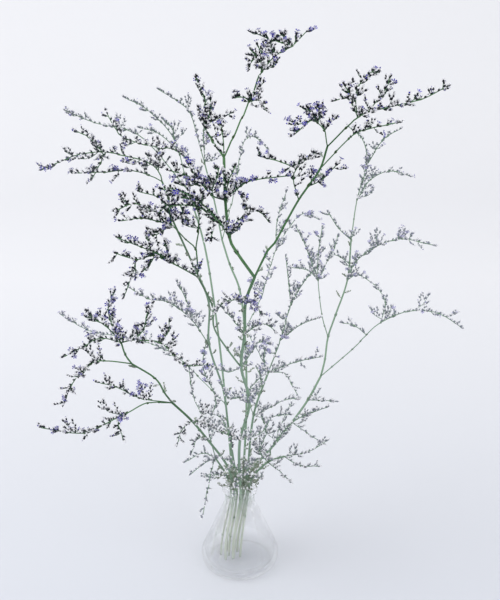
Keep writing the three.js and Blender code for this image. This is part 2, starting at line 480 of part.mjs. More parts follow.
// The twigs of a flowering arm: alternate, on its upper side, shorter towards its tip, with one at the tip
function twigsOf(arm, placed) {
  if (arm.bloom === 1) {
    return [];
  }
  const last = arm.points.length - 1;
  const first = Math.max(1, Math.round(arm.bloom * last));
  const twigs = [];
  for (let place = first; place <= last; place++) {
    const from = arm.points[place - 1].clone().lerp(arm.points[place], TWIG_PLACE);
    const share = (place - first) / Math.max(1, last - first);
    const side = place % 2 === 0 ? 1 : -1;
    const lean = THREE.MathUtils.lerp(TWIG_LEAN_ROOT, TWIG_LEAN_TIP, share);
    const roll = side * (TWIG_ROLL + TWIG_ROLL_SPREAD * (draw(arm.number, place, ROLL_DRAW) - 0.5));
    const size = THREE.MathUtils.lerp(...TWIG_SIZE, draw(arm.number, place, SIZE_DRAW));
    const length = Math.max(SHORTEST_TWIG, arm.twig * (1 - TWIG_TAPER * share) * size);
    twigs.push(clearTwig(arm, from, place - 1, lean, roll, length, placed));
  }
  const root = arm.points[last].clone().addScaledVector(arm.tangents[last], -TIP_FLORET_DEPTH);
  twigs.push(clearTwig(arm, root, last, 0, 0, TIP_TWIG, placed));
  return twigs.filter(Boolean);
}

// The vase as blown in one piece: a thick foot, a cone, a short neck and a rolled lip, open at the top
function vaseMesh() {
  const lipHeight = VASE_HEIGHT - LIP_RADIUS;
  const innerNeck = NECK_RADIUS - WALL;
  const slope = Math.atan2(CONE_START_RADIUS - SHOULDER_RADIUS, SHOULDER_HEIGHT - CONE_START_HEIGHT);
  const inward = WALL * Math.cos(slope);
  const downward = WALL * Math.sin(slope);
  const bendHeight = (SHOULDER_HEIGHT + NECK_START_HEIGHT) / 2;
  const bulgeHeight = (WIDEST_HEIGHT + CONE_START_HEIGHT) / 2;
  const outline = new THREE.Path();
  outline.moveTo(0, 0);
  outline.lineTo(FOOT_RADIUS, 0);
  outline.quadraticCurveTo(BODY_RADIUS, 0, BODY_RADIUS, WIDEST_HEIGHT);
  outline.quadraticCurveTo(BODY_RADIUS, bulgeHeight, CONE_START_RADIUS, CONE_START_HEIGHT);
  outline.lineTo(SHOULDER_RADIUS, SHOULDER_HEIGHT);
  outline.quadraticCurveTo(NECK_RADIUS, bendHeight, NECK_RADIUS, NECK_START_HEIGHT);
  outline.absarc(NECK_RADIUS, lipHeight, LIP_RADIUS, -Math.PI / 2, Math.PI, false);
  outline.lineTo(innerNeck, NECK_START_HEIGHT);
  outline.quadraticCurveTo(innerNeck, bendHeight - downward,
    SHOULDER_RADIUS - inward, SHOULDER_HEIGHT - downward);
  outline.lineTo(CONE_START_RADIUS - inward, CONE_START_HEIGHT - downward / 2);
  outline.quadraticCurveTo(BODY_RADIUS - WALL, FLOOR_THICKNESS, FLOOR_RADIUS, FLOOR_THICKNESS);
  outline.lineTo(0, FLOOR_THICKNESS);
  const lathe = new THREE.LatheGeometry(outline.getPoints(CURVE_POINTS), LATHE_SEGMENTS);
  lathe.rotateX(Math.PI / 2);
  const mesh = new THREE.Mesh(geometryFrom(solidFrom(lathe)), GLASS);
  mesh.name = "vase";
  return mesh;
}

// A twig with its florets: a slim spike, pointed where it is sunk in its arm, with a floret pulled out of
// one edge after another and a trumpet-shaped floret at its end
function spikeOf(twig) {
  const { side, rise } = squareTo(twig.direction);
  const florets = Math.max(1, Math.round(twig.length / FLORET_STEP));
  const rings = [[twig.from.clone().addScaledVector(twig.direction, -TWIG_ROOT_DEPTH)]];
  for (let floret = 1; floret <= florets; floret++) {
    const middle = twig.to.clone().addScaledVector(twig.direction, (floret - florets) * FLORET_STEP);
    const ring = ringOf(middle, floret === florets ? MOUTH_RADIUS : THROAT_RADIUS, TWIG_SIDES, rise, side);
    if (floret < florets) {
      const tip = ring[floret % TWIG_SIDES];
      const outward = tip.clone().sub(middle).normalize();
      tip.addScaledVector(outward, FLORET_REACH).addScaledVector(twig.direction, FLORET_RISE);
    }
    rings.push(ring);
  }
  return lofted(rings);
}

function stemMesh(name, arms, twigs) {
  const solids = [...arms.map(tubeOf), ...twigs.map(spikeOf)].map(solidFrom);
  const material = new THREE.MeshStandardMaterial({ color: STEM_GREEN, roughness: 0.85, metalness: 0 });
  const mesh = new THREE.Mesh(geometryFrom(wasm.Manifold.union(solids)), material);
  mesh.name = name;
  return mesh;
}

const part = new THREE.Group();
part.add(vaseMesh());

let armCount = 0;
const armsByStem = Object.entries(STEMS).map(([stem, routes]) => {
  const arms = armsOf(stem, routes, armCount);
  armCount += arms.length;
  return arms;
});

// Every twig is bent clear of all arms and of the twigs that are already there
const placed = armsByStem.flat().flatMap(stretchesOf);
for (const arms of armsByStem) {
  const stemTwigs = arms.flatMap((arm) => {
    const twigs = twigsOf(arm, placed);
    placed.push(...twigs);
    return twigs;
  });
  part.add(stemMesh(arms[0].stem, arms, stemTwigs));
}

export default part;
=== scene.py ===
"""Dried statice: flowering stems of sea lavender standing in a small conical glass vase.

Lengths are in millimetres and are turned into metres where a mesh is made. Only the room round the
vase is in metres from the start. +Z is up, and the origin is the middle of the vase's flat foot.
"""

import itertools
import math
from collections import namedtuple

import bpy
import numpy as np
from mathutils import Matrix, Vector


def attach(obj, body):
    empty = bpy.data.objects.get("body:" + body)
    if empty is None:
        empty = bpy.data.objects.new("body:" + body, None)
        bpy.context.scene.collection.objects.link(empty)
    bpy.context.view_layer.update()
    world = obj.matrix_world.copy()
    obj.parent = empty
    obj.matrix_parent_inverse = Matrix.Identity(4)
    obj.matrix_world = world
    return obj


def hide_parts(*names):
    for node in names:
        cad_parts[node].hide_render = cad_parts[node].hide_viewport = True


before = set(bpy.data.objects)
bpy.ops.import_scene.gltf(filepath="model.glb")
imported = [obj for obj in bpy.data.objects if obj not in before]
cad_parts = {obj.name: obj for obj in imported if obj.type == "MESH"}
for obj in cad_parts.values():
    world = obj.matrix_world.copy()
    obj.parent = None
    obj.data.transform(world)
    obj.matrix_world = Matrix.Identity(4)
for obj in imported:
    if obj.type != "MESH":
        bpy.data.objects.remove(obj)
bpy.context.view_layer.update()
MM = 0.001

# The camera looks along +Y and down at the sprays
CAMERA_PLACE = (10.5, -889, 694)
CAMERA_DOWN_DEGREES = 24
LENS = 62.4
SENSOR = 36

# The vase
VASE_HEIGHT = 91
BODY_RADIUS = 40
FOOT_RADIUS = 31
WIDEST_HEIGHT = 11
CONE_START_HEIGHT = 17
CONE_START_RADIUS = 39
SHOULDER_HEIGHT = 68
SHOULDER_RADIUS = 17.8
NECK_RADIUS = 15.2
NECK_START_HEIGHT = 76
WALL = 2.8
FLOOR_THICKNESS = 5
FLOOR_RADIUS = 27
LIP_RADIUS = 2.8
LIP_TURN = 1.5 * math.pi
VASE_SIDES = 96
LIP_SIDES = 24
CURVE_STEPS = 8
# The vase's number where the stems are numbered from 0
VASE = -1

# The room round the vase, in metres: a floor that curves up into a backdrop, and soft light
FLOOR_HALF_WIDTH = 5
FLOOR_FRONT = -3.0
BEND_PLACE = 1.2
BEND_RADIUS = 0.9
BEND_START_ANGLE = 0.1
BEND_STEPS = 14
BACKDROP_TOP = 4.0
FLOOR_ROUGHNESS = 0.75
# Painted shade: the floor's colour darkens and turns bluer towards the front, between these places along Y
FLOOR_SHADE_ENDS = (-0.5, 0.9)
FLOOR_PAINTED_SHADE_COLORS = ((0.1, (0.585, 0.61, 0.67)), (0.9, (0.79, 0.795, 0.82)))
DAYLIGHT_COLOR = (0.985, 0.988, 1, 1)
DAYLIGHT_STRENGTH = 0.93
LIGHTS = (("window_light", (-1.6, -0.6, 2.2), 28), ("fill_light", (1.6, -1.4, 1.6), 10))
LIGHT_SIZE = 2.0
LIGHT_TARGET = (0, 0, 0.25)
CAMERA_CLIP = (0.01, 50)

# The arms, with the same points and the same twigs as in the solids
STEM_CLEARANCE = 0.45
STEM_FOOT = FLOOR_THICKNESS + STEM_CLEARANCE
SPRAY_TIP_RADIUS = 0.5
NODE_STEP = 18
BARE_STEP = 30
TWIG_PLACE = 0.2
TWIG_LEAN_ROOT = 1.05
TWIG_LEAN_TIP = 0.7
TWIG_ROLL = 1
TWIG_ROLL_SPREAD = 0.5
TWIG_TAPER = 0.4
TWIG_SIZE = (0.6, 1.9)
SHORTEST_TWIG = 7
TIP_TWIG = 4.5
TWIG_CLEARANCE = 0.5
BEND_CLEAR_TURNS = (0, 0.7, -0.7, 1.4, -1.4)
FLORET_REACH = 3.5
TIP_FLORET_DEPTH = 1.5
NEARLY_UPRIGHT = 0.97
NEARLY_PARALLEL = 1e-9
UP = np.array((0, 0, 1.0))
RIGHT = np.array((1.0, 0, 0))

# The repeatable draw of the twigs' rolls and sizes
ROLL_DRAW = 1
SIZE_DRAW = 2
ARM_FACTOR = 12.9898
PLACE_FACTOR = 78.233
PURPOSE_FACTOR = 37.719
DRAW_SCALE = 43758.5453

# An arm's radius at its two ends, the share of it that is bare, the length of its twigs and its route
Arm = namedtuple("Arm", "from_radius to_radius bloom twig route")


def bare(from_radius, to_radius, route):
    """An arm without twigs."""
    return Arm(from_radius, to_radius, bloom=1, twig=0, route=route)


def spray(from_radius, bloom, twig, route):
    """A flowering arm, which thins to a fine tip."""
    return Arm(from_radius, SPRAY_TIP_RADIUS, bloom, twig, route)


CENTRAL_STEM = [
    bare(1.5, 1.15, [(-7, -6, STEM_FOOT), (-6, -7, 30), (1, -8.4, 82), (0, -19, 120), (1, -38, 169),
        (10, -62, 223), (3, -95, 277), (6, -115, 318), (7, -135, 356), (14, -152, 385)]),
    bare(1.15, 1.05, [(14, -152, 385), (1, -155, 406), (-5, -153, 418), (-8, -146, 445), (-9, -135, 475)]),
    # the topmost arm and its sprays
    spray(0.9, 0.7, 7, [(-9, -135, 475), (10, -122, 514), (19, -112, 534), (31, -106, 546),
        (41, -103, 551), (54, -97, 562)]),
    spray(0.6, 0.3, 11, [(19, -112, 534), (18, -114, 542), (11, -120, 552)]),
    spray(0.6, 0.4, 9, [(18, -114, 542), (13, -119, 545), (10, -122, 540)]),
    spray(0.6, 0.2, 8, [(18, -114, 542), (19, -115, 548), (16, -118, 555)]),
    spray(0.6, 0.2, 8, [(31, -106, 546), (27, -104, 549), (24, -103, 552)]),
    spray(0.6, 0.2, 9, [(41, -103, 551), (35, -104, 554), (27, -105, 556), (16, -106, 561)]),
    spray(0.6, 0.4, 9, [(41, -103, 551), (38, -102, 556), (34, -103, 560)]),
    spray(0.6, 0.2, 9, [(10, -122, 514), (6, -124, 518), (-1, -127, 518)]),
    spray(0.6, 0.2, 9, [(10, -122, 514), (15, -119, 520), (20, -115, 527)]),
    spray(0.6, 0.2, 9, [(10, -122, 514), (17, -126, 516), (23, -129, 509)]),
    spray(1.1, 0.4, 13, [(-9, -135, 475), (-24, -110, 492), (-25, -85, 505), (-32, -66, 521)]),
    spray(0.6, 0.2, 11, [(-24, -110, 492), (-19, -106, 495), (-11, -102, 497), (-3, -98, 500)]),
    spray(0.6, 0.2, 9, [(-24, -110, 492), (-20, -98, 500), (-20, -92, 510)]),
    spray(0.7, 0.4, 10, [(-9, -135, 475), (-10, -128, 493), (-15, -120, 502)]),
    # the sprays that crowd round the trunk's upper part
    spray(0.7, 0.15, 12, [(-8, -146, 445), (3, -156, 459), (14, -165, 467), (38, -175, 473)]),
    spray(0.6, 0.3, 13, [(-8, -146, 445), (-6, -152, 460), (0, -156, 475)]),
    spray(0.7, 0.3, 12, [(-8, -146, 445), (-18, -152, 451), (-26, -158, 463), (-37, -162, 470),
        (-48, -165, 474)]),
    spray(0.6, 0.2, 10, [(-18, -152, 451), (-17, -155, 459), (-13, -158, 467), (-13, -160, 474)]),
    spray(0.6, 0.2, 9, [(-26, -158, 463), (-31, -160, 471), (-35, -162, 479)]),
    spray(0.6, 0.2, 9, [(-26, -158, 463), (-35, -162, 461), (-43, -164, 464)]),
    spray(0.7, 0.25, 13, [(-5, -153, 418), (-12, -161, 433), (-23, -170, 449), (-35, -176, 460),
        (-49, -180, 466)]),
    spray(0.7, 0.25, 12, [(-5, -153, 418), (-15, -162, 437), (-27, -168, 447), (-40, -174, 451),
        (-52, -178, 450)]),
    spray(0.6, 0.2, 8, [(-27, -168, 447), (-34, -172, 455), (-40, -175, 457)]),
    spray(0.6, 0.2, 7, [(-40, -174, 451), (-38, -174, 445), (-35, -174, 439)]),
    spray(0.6, 0.2, 8, [(-15, -162, 437), (-17, -164, 429), (-18, -166, 422)]),
    spray(0.6, 0.2, 10, [(-5, -153, 418), (1, -140, 426), (9, -128, 429), (18, -120, 427),
        (25, -114, 417)]),
    spray(0.6, 0.2, 9, [(9, -128, 429), (7, -126, 435), (4, -124, 441)]),
    # the right arm and its sprays
    bare(0.85, 0.75, [(14, -152, 385), (24, -152, 407), (29, -150, 412), (38, -148, 429), (47, -145, 445),
        (54, -143, 455), (63, -140, 468), (68, -137, 484)]),
    spray(0.8, 0.4, 12, [(68, -137, 484), (81, -135, 497), (90, -133, 505), (97, -131, 508),
        (109, -130, 511), (136, -128, 517), (156, -125, 526)]),
    spray(0.6, 0.5, 11, [(63, -140, 468), (82, -150, 493), (92, -152, 500), (118, -155, 507)]),
    spray(0.6, 0.5, 12, [(68, -137, 484), (65, -142, 497), (60, -146, 504), (54, -150, 507),
        (49, -154, 503), (41, -158, 498)]),
    spray(0.55, 0.2, 8, [(60, -146, 504), (56, -146, 510), (52, -146, 515)]),
    spray(0.55, 0.2, 8, [(60, -146, 504), (61, -143, 510), (60, -141, 515)]),
    spray(0.55, 0.2, 8, [(65, -142, 497), (69, -138, 503), (73, -136, 505)]),
    spray(0.6, 0.4, 9, [(90, -133, 505), (86, -134, 514), (81, -135, 520), (72, -136, 518)]),
    spray(0.6, 0.3, 8, [(86, -134, 514), (83, -134, 523), (79, -133, 529)]),
    spray(0.6, 0.45, 8, [(90, -133, 505), (88, -131, 518), (90, -130, 528), (95, -128, 534),
        (101, -126, 538)]),
    spray(0.6, 0.4, 8, [(97, -131, 508), (105, -128, 517), (111, -125, 525), (114, -122, 533)]),
    spray(0.6, 0.2, 11, [(47, -145, 445), (43, -142, 460), (45, -140, 468), (51, -138, 475),
        (59, -136, 479)]),
    spray(0.6, 0.2, 11, [(45, -140, 468), (34, -144, 474), (18, -146, 479)]),
    spray(0.6, 0.2, 11, [(54, -143, 455), (64, -140, 459), (77, -136, 471)]),
    # the left arm, which arches over into the densest sprays
    bare(0.8, 0.7, [(3, -95, 277), (-8, -104, 298), (-19, -115, 324), (-20, -125, 349), (-30, -142, 381)]),
    spray(0.75, 0.3, 11, [(-30, -142, 381), (-47, -155, 397), (-61, -163, 407), (-74, -170, 407),
        (-88, -176, 414)]),
    spray(0.6, 0.2, 12, [(-47, -155, 397), (-58, -166, 410), (-69, -174, 418), (-86, -180, 428)]),
    spray(0.6, 0.2, 9, [(-47, -155, 397), (-52, -156, 407), (-53, -158, 416)]),
    spray(0.6, 0.2, 9, [(-61, -163, 407), (-64, -166, 417), (-66, -168, 425)]),
    spray(0.6, 0.2, 7, [(-61, -163, 407), (-65, -163, 400), (-70, -163, 395)]),
    spray(0.6, 0.3, 11, [(-74, -170, 407), (-78, -173, 394), (-84, -175, 379)]),
    spray(0.8, 0.65, 13, [(-30, -142, 381), (-31, -146, 405), (-38, -150, 415), (-48, -156, 429),
        (-59, -162, 441), (-73, -168, 450), (-87, -172, 446)]),
    spray(0.6, 0.2, 11, [(-48, -156, 429), (-50, -163, 445), (-56, -169, 455), (-69, -174, 461)]),
    spray(0.6, 0.3, 11, [(-48, -156, 429), (-57, -165, 435), (-68, -172, 440), (-83, -177, 440)]),
    spray(0.6, 0.2, 9, [(-48, -156, 429), (-56, -162, 426), (-61, -166, 424), (-65, -168, 430)]),
    spray(0.7, 0.5, 13, [(-31, -146, 405), (-29, -150, 421), (-28, -154, 439), (-37, -160, 453),
        (-54, -168, 461)]),
    # the short sprays low on the trunk
    spray(0.55, 0.2, 9, [(7, -135, 356), (-2, -138, 360), (-11, -142, 359), (-16, -146, 353)]),
    spray(0.55, 0.2, 9, [(7, -135, 356), (15, -141, 358), (19, -147, 352)]),
    spray(0.55, 0.2, 10, [(6, -115, 318), (15, -118, 327), (24, -122, 331), (31, -126, 326)]),
    spray(0.55, 0.2, 9, [(6, -115, 318), (-2, -107, 326), (-13, -96, 334)]),
    spray(0.55, 0.2, 10, [(3, -95, 277), (12, -92, 290), (18, -88, 298), (27, -84, 294)]),
    spray(0.55, 0.2, 9, [(3, -95, 277), (-7, -99, 275), (-18, -106, 281)]),
    spray(0.55, 0.2, 11, [(10, -62, 223), (0, -66, 231), (-9, -71, 233), (-16, -78, 252)]),
    spray(0.55, 0.2, 10, [(10, -62, 223), (18, -64, 236), (21, -66, 249), (16, -68, 263)]),
    spray(0.55, 0.2, 11, [(1, -38, 169), (-10, -41, 181), (-17, -43, 197), (-27, -45, 202)]),
    spray(0.55, 0.2, 11, [(1, -38, 169), (13, -45, 177), (23, -51, 187), (29, -56, 203)]),
    spray(0.55, 0.2, 9, [(0, -19, 120), (-8, -28, 138), (-16, -36, 147)]),
    spray(0.55, 0.2, 10, [(0, -19, 120), (12, -28, 137), (22, -34, 146), (33, -37, 146)]),
    spray(0.55, 0.2, 9, [(0, -19, 120), (0, -29, 118), (-5, -38, 108)]),
]

LEFT_ARCHING_STEM = [
    bare(1.2, 0.75, [(-12, -1, STEM_FOOT), (-10, -2, 30), (-3, -3, 80), (-5, -10, 120), (-10, -28, 175),
        (-14, -50, 230), (-25, -78, 290), (-24, -98, 340), (-36, -120, 385), (-49, -130, 423)]),
    bare(0.8, 0.7, [(-49, -130, 423), (-52, -128, 440), (-57, -122, 452)]),
    spray(0.6, 0.6, 10, [(-57, -122, 452), (-67, -118, 456), (-84, -114, 459), (-102, -110, 456),
        (-127, -106, 454)]),
    spray(0.65, 0.3, 13, [(-57, -122, 452), (-60, -118, 460), (-70, -115, 466), (-90, -110, 470),
        (-104, -106, 471), (-123, -103, 468), (-138, -102, 462), (-153, -100, 455)]),
    spray(0.6, 0.35, 10, [(-60, -118, 460), (-60, -108, 474), (-75, -104, 477), (-91, -98, 483),
        (-101, -94, 500)]),
    spray(0.6, 0.3, 10, [(-60, -108, 474), (-50, -104, 473), (-37, -100, 463)]),
    spray(0.6, 0.15, 11, [(-104, -106, 471), (-113, -103, 481), (-125, -99, 486)]),
    spray(0.55, 0.3, 8, [(-104, -106, 471), (-105, -110, 464), (-112, -114, 452)]),
    spray(0.6, 0.3, 12, [(-25, -78, 290), (-40, -84, 318), (-58, -92, 337), (-74, -100, 344),
        (-89, -104, 356)]),
    spray(0.6, 0.3, 12, [(-40, -84, 318), (-43, -84, 334), (-50, -88, 354)]),
]

LOW_LEFT_STEM = [
    bare(1.3, 1, [(-15, -8, STEM_FOOT), (-14, -8, 30), (-6.3, -6.8, 82), (-8.2, -10.5, 108),
        (-14, -22, 134), (-29, -48, 175), (-42, -75, 212), (-57, -100, 245)]),
    spray(0.8, 0.55, 15, [(-57, -100, 245), (-76, -118, 255), (-92, -132, 254), (-113, -146, 249),
        (-125, -152, 246), (-140, -160, 252), (-157, -168, 261)]),
    spray(0.55, 0.3, 8, [(-92, -132, 254), (-100, -136, 249), (-96, -138, 232)]),
    spray(0.6, 0.45, 12, [(-57, -100, 245), (-74, -106, 251), (-84, -110, 255), (-102, -114, 268),
        (-118, -118, 275)]),
    bare(0.85, 0.75, [(-57, -100, 245), (-62, -112, 261), (-68, -128, 284), (-85, -142, 305)]),
    spray(0.75, 0.3, 16, [(-85, -142, 305), (-105, -152, 313), (-115, -157, 313), (-123, -161, 307),
        (-132, -164, 296), (-138, -166, 281)]),
    bare(0.8, 0.7, [(-85, -142, 305), (-89, -148, 316), (-91, -154, 330)]),
    spray(0.6, 0.15, 12, [(-91, -154, 330), (-106, -160, 337), (-120, -164, 331), (-134, -168, 325)]),
    spray(0.6, 0.2, 12, [(-91, -154, 330), (-97, -156, 346), (-99, -158, 362), (-93, -160, 377)]),
    spray(0.6, 0.25, 11, [(-91, -154, 330), (-101, -160, 347), (-111, -162, 355), (-114, -163, 361)]),
    spray(0.65, 0.2, 12, [(-91, -154, 330), (-79, -166, 338), (-58, -180, 343), (-48, -188, 337),
        (-39, -194, 331), (-20, -200, 334)]),
    spray(0.6, 0.2, 8, [(-79, -166, 338), (-71, -172, 350), (-68, -174, 361), (-66, -176, 370)]),
    spray(0.6, 0.2, 8, [(-58, -180, 343), (-51, -183, 354), (-50, -185, 364)]),
    spray(0.6, 0.4, 12, [(-42, -75, 212), (-30, -86, 216), (-14, -96, 213), (0, -106, 212)]),
    spray(0.6, 0.4, 8, [(-42, -75, 212), (-51, -82, 207), (-55, -86, 194)]),
    spray(0.55, 0.2, 9, [(-29, -48, 175), (-38, -56, 183), (-44, -62, 170)]),
]

RIGHT_BACK_STEM = [
    bare(1.3, 1.1, [(-3, 6, STEM_FOOT), (-1, 6, 30), (7.8, 4.9, 82), (11.2, 7.4, 104), (36, 15, 132),
        (53, 22, 153), (69, 32, 173), (82, 40, 196)]),
    bare(0.95, 0.8, [(82, 40, 196), (86, 45, 212), (89, 52, 234), (96, 58, 255), (108, 70, 289),
        (111, 80, 328)]),
    spray(0.75, 0.45, 14, [(111, 80, 328), (116, 88, 367), (124, 92, 400), (121, 96, 424),
        (106, 104, 437)]),
    spray(0.65, 0.6, 11, [(89, 52, 234), (82, 50, 260), (77, 46, 298), (76, 43, 326), (79, 40, 356)]),
    spray(0.55, 0.45, 10, [(77, 46, 298), (68, 42, 325), (61, 38, 343), (54, 36, 358)]),
    spray(0.55, 0.45, 12, [(77, 46, 298), (86, 49, 318), (92, 51, 330), (95, 52, 343)]),
    spray(0.55, 0.3, 10, [(77, 46, 298), (67, 44, 310), (49, 40, 315)]),
    spray(0.6, 0.3, 12, [(116, 88, 367), (127, 80, 390), (145, 74, 401), (164, 70, 397)]),
    spray(0.6, 0.3, 12, [(124, 92, 400), (138, 86, 428), (154, 80, 441)]),
    spray(0.65, 0.25, 16, [(108, 70, 289), (114, 60, 312), (131, 45, 334), (154, 32, 347),
        (183, 20, 345)]),
    spray(0.6, 0.25, 14, [(111, 80, 328), (98, 74, 342), (86, 66, 362)]),
    spray(0.6, 0.3, 10, [(108, 70, 289), (111, 66, 304), (100, 60, 317), (89, 56, 323)]),
    spray(0.7, 0.6, 16, [(82, 40, 196), (110, 20, 236), (122, 8, 258), (133, -5, 277),
        (155, -25, 298), (179, -42, 304), (198, -55, 296)]),
    spray(0.6, 0.3, 10, [(122, 8, 258), (111, 12, 266), (99, 16, 267)]),
    spray(0.6, 0.2, 12, [(133, -5, 277), (137, -2, 296), (129, 0, 312)]),
    spray(0.6, 0.3, 11, [(108, 70, 289), (118, 62, 298), (136, 52, 289)]),
    spray(0.55, 0.2, 10, [(69, 32, 173), (79, 26, 176), (92, 20, 179)]),
    spray(0.55, 0.2, 10, [(53, 22, 153), (67, 14, 146), (84, 6, 138)]),
    spray(0.55, 0.2, 10, [(36, 15, 132), (41, 22, 148), (52, 32, 169)]),
]

RIGHT_STEM = [
    bare(1.3, 1, [(-7, 1, STEM_FOOT), (-5, 1, 30), (3.5, 0, 80), (8, -1, 110), (14, 0, 174),
        (28, -4, 224)]),
    spray(0.85, 0.35, 15, [(28, -4, 224), (39, -10, 261), (48, -18, 301), (60, -26, 329),
        (72, -32, 347)]),
    spray(0.6, 0.2, 15, [(48, -18, 301), (46, -14, 320), (43, -10, 346)]),
    spray(0.6, 0.3, 12, [(39, -10, 261), (57, -20, 282), (74, -28, 293)]),
    spray(0.6, 0.3, 12, [(28, -4, 224), (53, -18, 242), (76, -30, 254)]),
    spray(0.6, 0.3, 12, [(14, 0, 174), (8, -12, 205), (22, -22, 232), (24, -30, 262)]),
    spray(0.55, 0.2, 10, [(28, -4, 224), (43, -10, 226), (50, -16, 218), (56, -20, 207)]),
    spray(0.55, 0.2, 10, [(28, -4, 224), (21, -1, 239), (10, 6, 258)]),
    spray(0.55, 0.2, 10, [(14, 0, 174), (31, 0, 183), (44, 2, 190), (58, 4, 191)]),
    spray(0.55, 0.2, 10, [(14, 0, 174), (27, -6, 174), (38, -12, 181), (50, -16, 184)]),
]

BACK_STEM = [
    bare(1.3, 0.9, [(-6, 11, STEM_FOOT), (-5, 11, 30), (2, 9, 80), (4, 13, 104), (7, 40, 169),
        (5, 72, 232), (0, 90, 269), (-10, 100, 293), (-18, 108, 317)]),
    bare(0.8, 0.7, [(-18, 108, 317), (-26, 118, 357), (-35, 128, 391)]),
    spray(0.65, 0.3, 14, [(-35, 128, 391), (-36, 130, 425), (-32, 134, 449), (-40, 138, 471)]),
    spray(0.65, 0.3, 12, [(-35, 128, 391), (-42, 127, 420), (-49, 126, 445), (-61, 124, 457),
        (-79, 122, 469)]),
    spray(0.65, 0.5, 12, [(-26, 118, 357), (-49, 112, 396), (-77, 106, 428), (-97, 102, 436)]),
    spray(0.65, 0.5, 13, [(-18, 108, 317), (-5, 120, 367), (0, 126, 397), (6, 130, 417),
        (17, 132, 418), (28, 134, 406)]),
    spray(0.65, 0.35, 14, [(5, 72, 232), (22, 88, 262), (37, 100, 309), (61, 106, 345),
        (80, 108, 340)]),
    spray(0.6, 0.3, 12, [(37, 100, 309), (38, 104, 340), (48, 108, 372)]),
]

BACK_LEFT_STEM = [
    bare(1.3, 0.85, [(-14, 7, STEM_FOOT), (-13, 7, 30), (-5.5, 7, 80), (-8, 12, 106), (-14, 32, 168),
        (-22, 56, 240), (-34, 76, 320), (-50, 86, 377)]),
    spray(0.7, 0.5, 13, [(-50, 86, 377), (-85, 80, 425), (-106, 72, 442), (-134, 66, 450),
        (-160, 60, 463)]),
    spray(0.65, 0.5, 13, [(-50, 86, 377), (-62, 86, 428), (-86, 82, 458), (-107, 78, 471)]),
    spray(0.6, 0.25, 10, [(-62, 86, 428), (-64, 80, 442), (-72, 74, 452)]),
    spray(0.65, 0.4, 12, [(-14, 32, 168), (-69, 42, 222), (-119, 44, 238), (-151, 44, 246),
        (-176, 42, 264)]),
]

LOW_RIGHT_STEM = [
    bare(1.2, 0.9, [(0, -3, STEM_FOOT), (2, -3, 30), (8.6, -3.8, 82), (12.3, -5.3, 104), (28, -10, 126),
        (44, -18, 138)]),
    spray(0.65, 0.2, 12, [(44, -18, 138), (60, -18, 141), (72, -18, 146), (86, -18, 156)]),
    spray(0.65, 0.2, 12, [(44, -18, 138), (59, -28, 134), (77, -34, 137)]),
    spray(0.65, 0.25, 14, [(28, -10, 126), (34, -20, 154), (55, -30, 187), (83, -38, 205)]),
    spray(0.65, 0.25, 12, [(28, -10, 126), (20, -26, 150), (26, -38, 178), (20, -50, 205)]),
    spray(0.55, 0.2, 9, [(28, -10, 126), (40, -24, 124), (50, -36, 120)]),
    spray(0.55, 0.2, 9, [(12.3, -5.3, 104), (17, -15, 112), (22, -26, 117)]),
]

LOW_FRONT_LEFT_STEM = [
    bare(1.2, 0.9, [(-20, 1, STEM_FOOT), (-18, 1, 30), (-9, 0.5, 80), (-13, -1, 104), (-24, -8, 130)]),
    spray(0.65, 0.3, 11, [(-24, -8, 130), (-36, -20, 143), (-52, -34, 142)]),
    spray(0.65, 0.35, 11, [(-24, -8, 130), (-27, -24, 128), (-31, -40, 112), (-36, -46, 88)]),
    spray(0.65, 0.2, 12, [(-24, -8, 130), (-30, -14, 170), (-22, -24, 205), (-33, -34, 245),
        (-28, -40, 280)]),
    spray(0.6, 0.2, 12, [(-30, -14, 170), (-44, -10, 200), (-48, -6, 230)]),
    spray(0.55, 0.2, 9, [(-24, -8, 130), (-36, 0, 118), (-50, 8, 100)]),
    spray(0.55, 0.2, 9, [(-13, -1, 104), (-22, -6, 109), (-33, -12, 110)]),
]

# Each stem's arms, how far it has bleached at its top, from 0 to 1, the height it is as fresh as that from,
# and the chance of a second twig
Stem = namedtuple("Stem", "arms bleached fresh_height fullness")
STEMS = {
    "central_stem": Stem(CENTRAL_STEM, 0, 400, 0.5),
    "left_arching_stem": Stem(LEFT_ARCHING_STEM, 0.12, 440, 0.5),
    "low_left_stem": Stem(LOW_LEFT_STEM, 0.05, 240, 0.85),
    "right_back_stem": Stem(RIGHT_BACK_STEM, 0.45, 440, 0.4),
    "right_stem": Stem(RIGHT_STEM, 0.5, 350, 0.35),
    "back_stem": Stem(BACK_STEM, 0.5, 440, 0.45),
    "back_left_stem": Stem(BACK_LEFT_STEM, 0.5, 440, 0.4),
    "low_right_stem": Stem(LOW_RIGHT_STEM, 0.5, 200, 0.4),
    "low_front_left_stem": Stem(LOW_FRONT_LEFT_STEM, 0.4, 280, 0.4),
}

# The finer growth, which the solids don't have
SEED = 7
FINE_STEP = 4
THICK_RADIUS = 0.95
THICK_SIDES = 12
THIN_SIDES = 6
FLOWERING_ARM_SHARE = 0.75
ZIGZAG = 0.7

# A twig's stalk, which ends short of the twig's tip to leave room for its last spikelet
TWIG_TUBE_SIDES = 4
TWIG_RADIUS = (0.34, 0.2)
TWIG_BOW = 0.14
TWIG_STEP = 3.5
FEWEST_TWIG_STEPS = 3
LAST_SPIKELET = 2.4

# The spikelets. The first is 0.8 of a step from the root of its stalk, the last as far from the tip
SPIKELET_STEP = 2.3
FIRST_STEP = 0.8
EXTRA_STEPS = 0.6
SPIKELET_LEAN = 0.75
SPIKELET_LEAN_SPREAD = (-0.2, 0.25)
SPIKELET_ROLLS = (0.35, 1.35)
STAND_OFF = 0.4
SMALL_STAND_OFF = 0.3
SPIKELET_SIZE = (0.8, 1.12)
IN_BUD_SHARE = 0.15
ARM_SPIKELET_STEP = 4.5
ARM_SPIKELET_ROLLS = (0.2, 1.2)

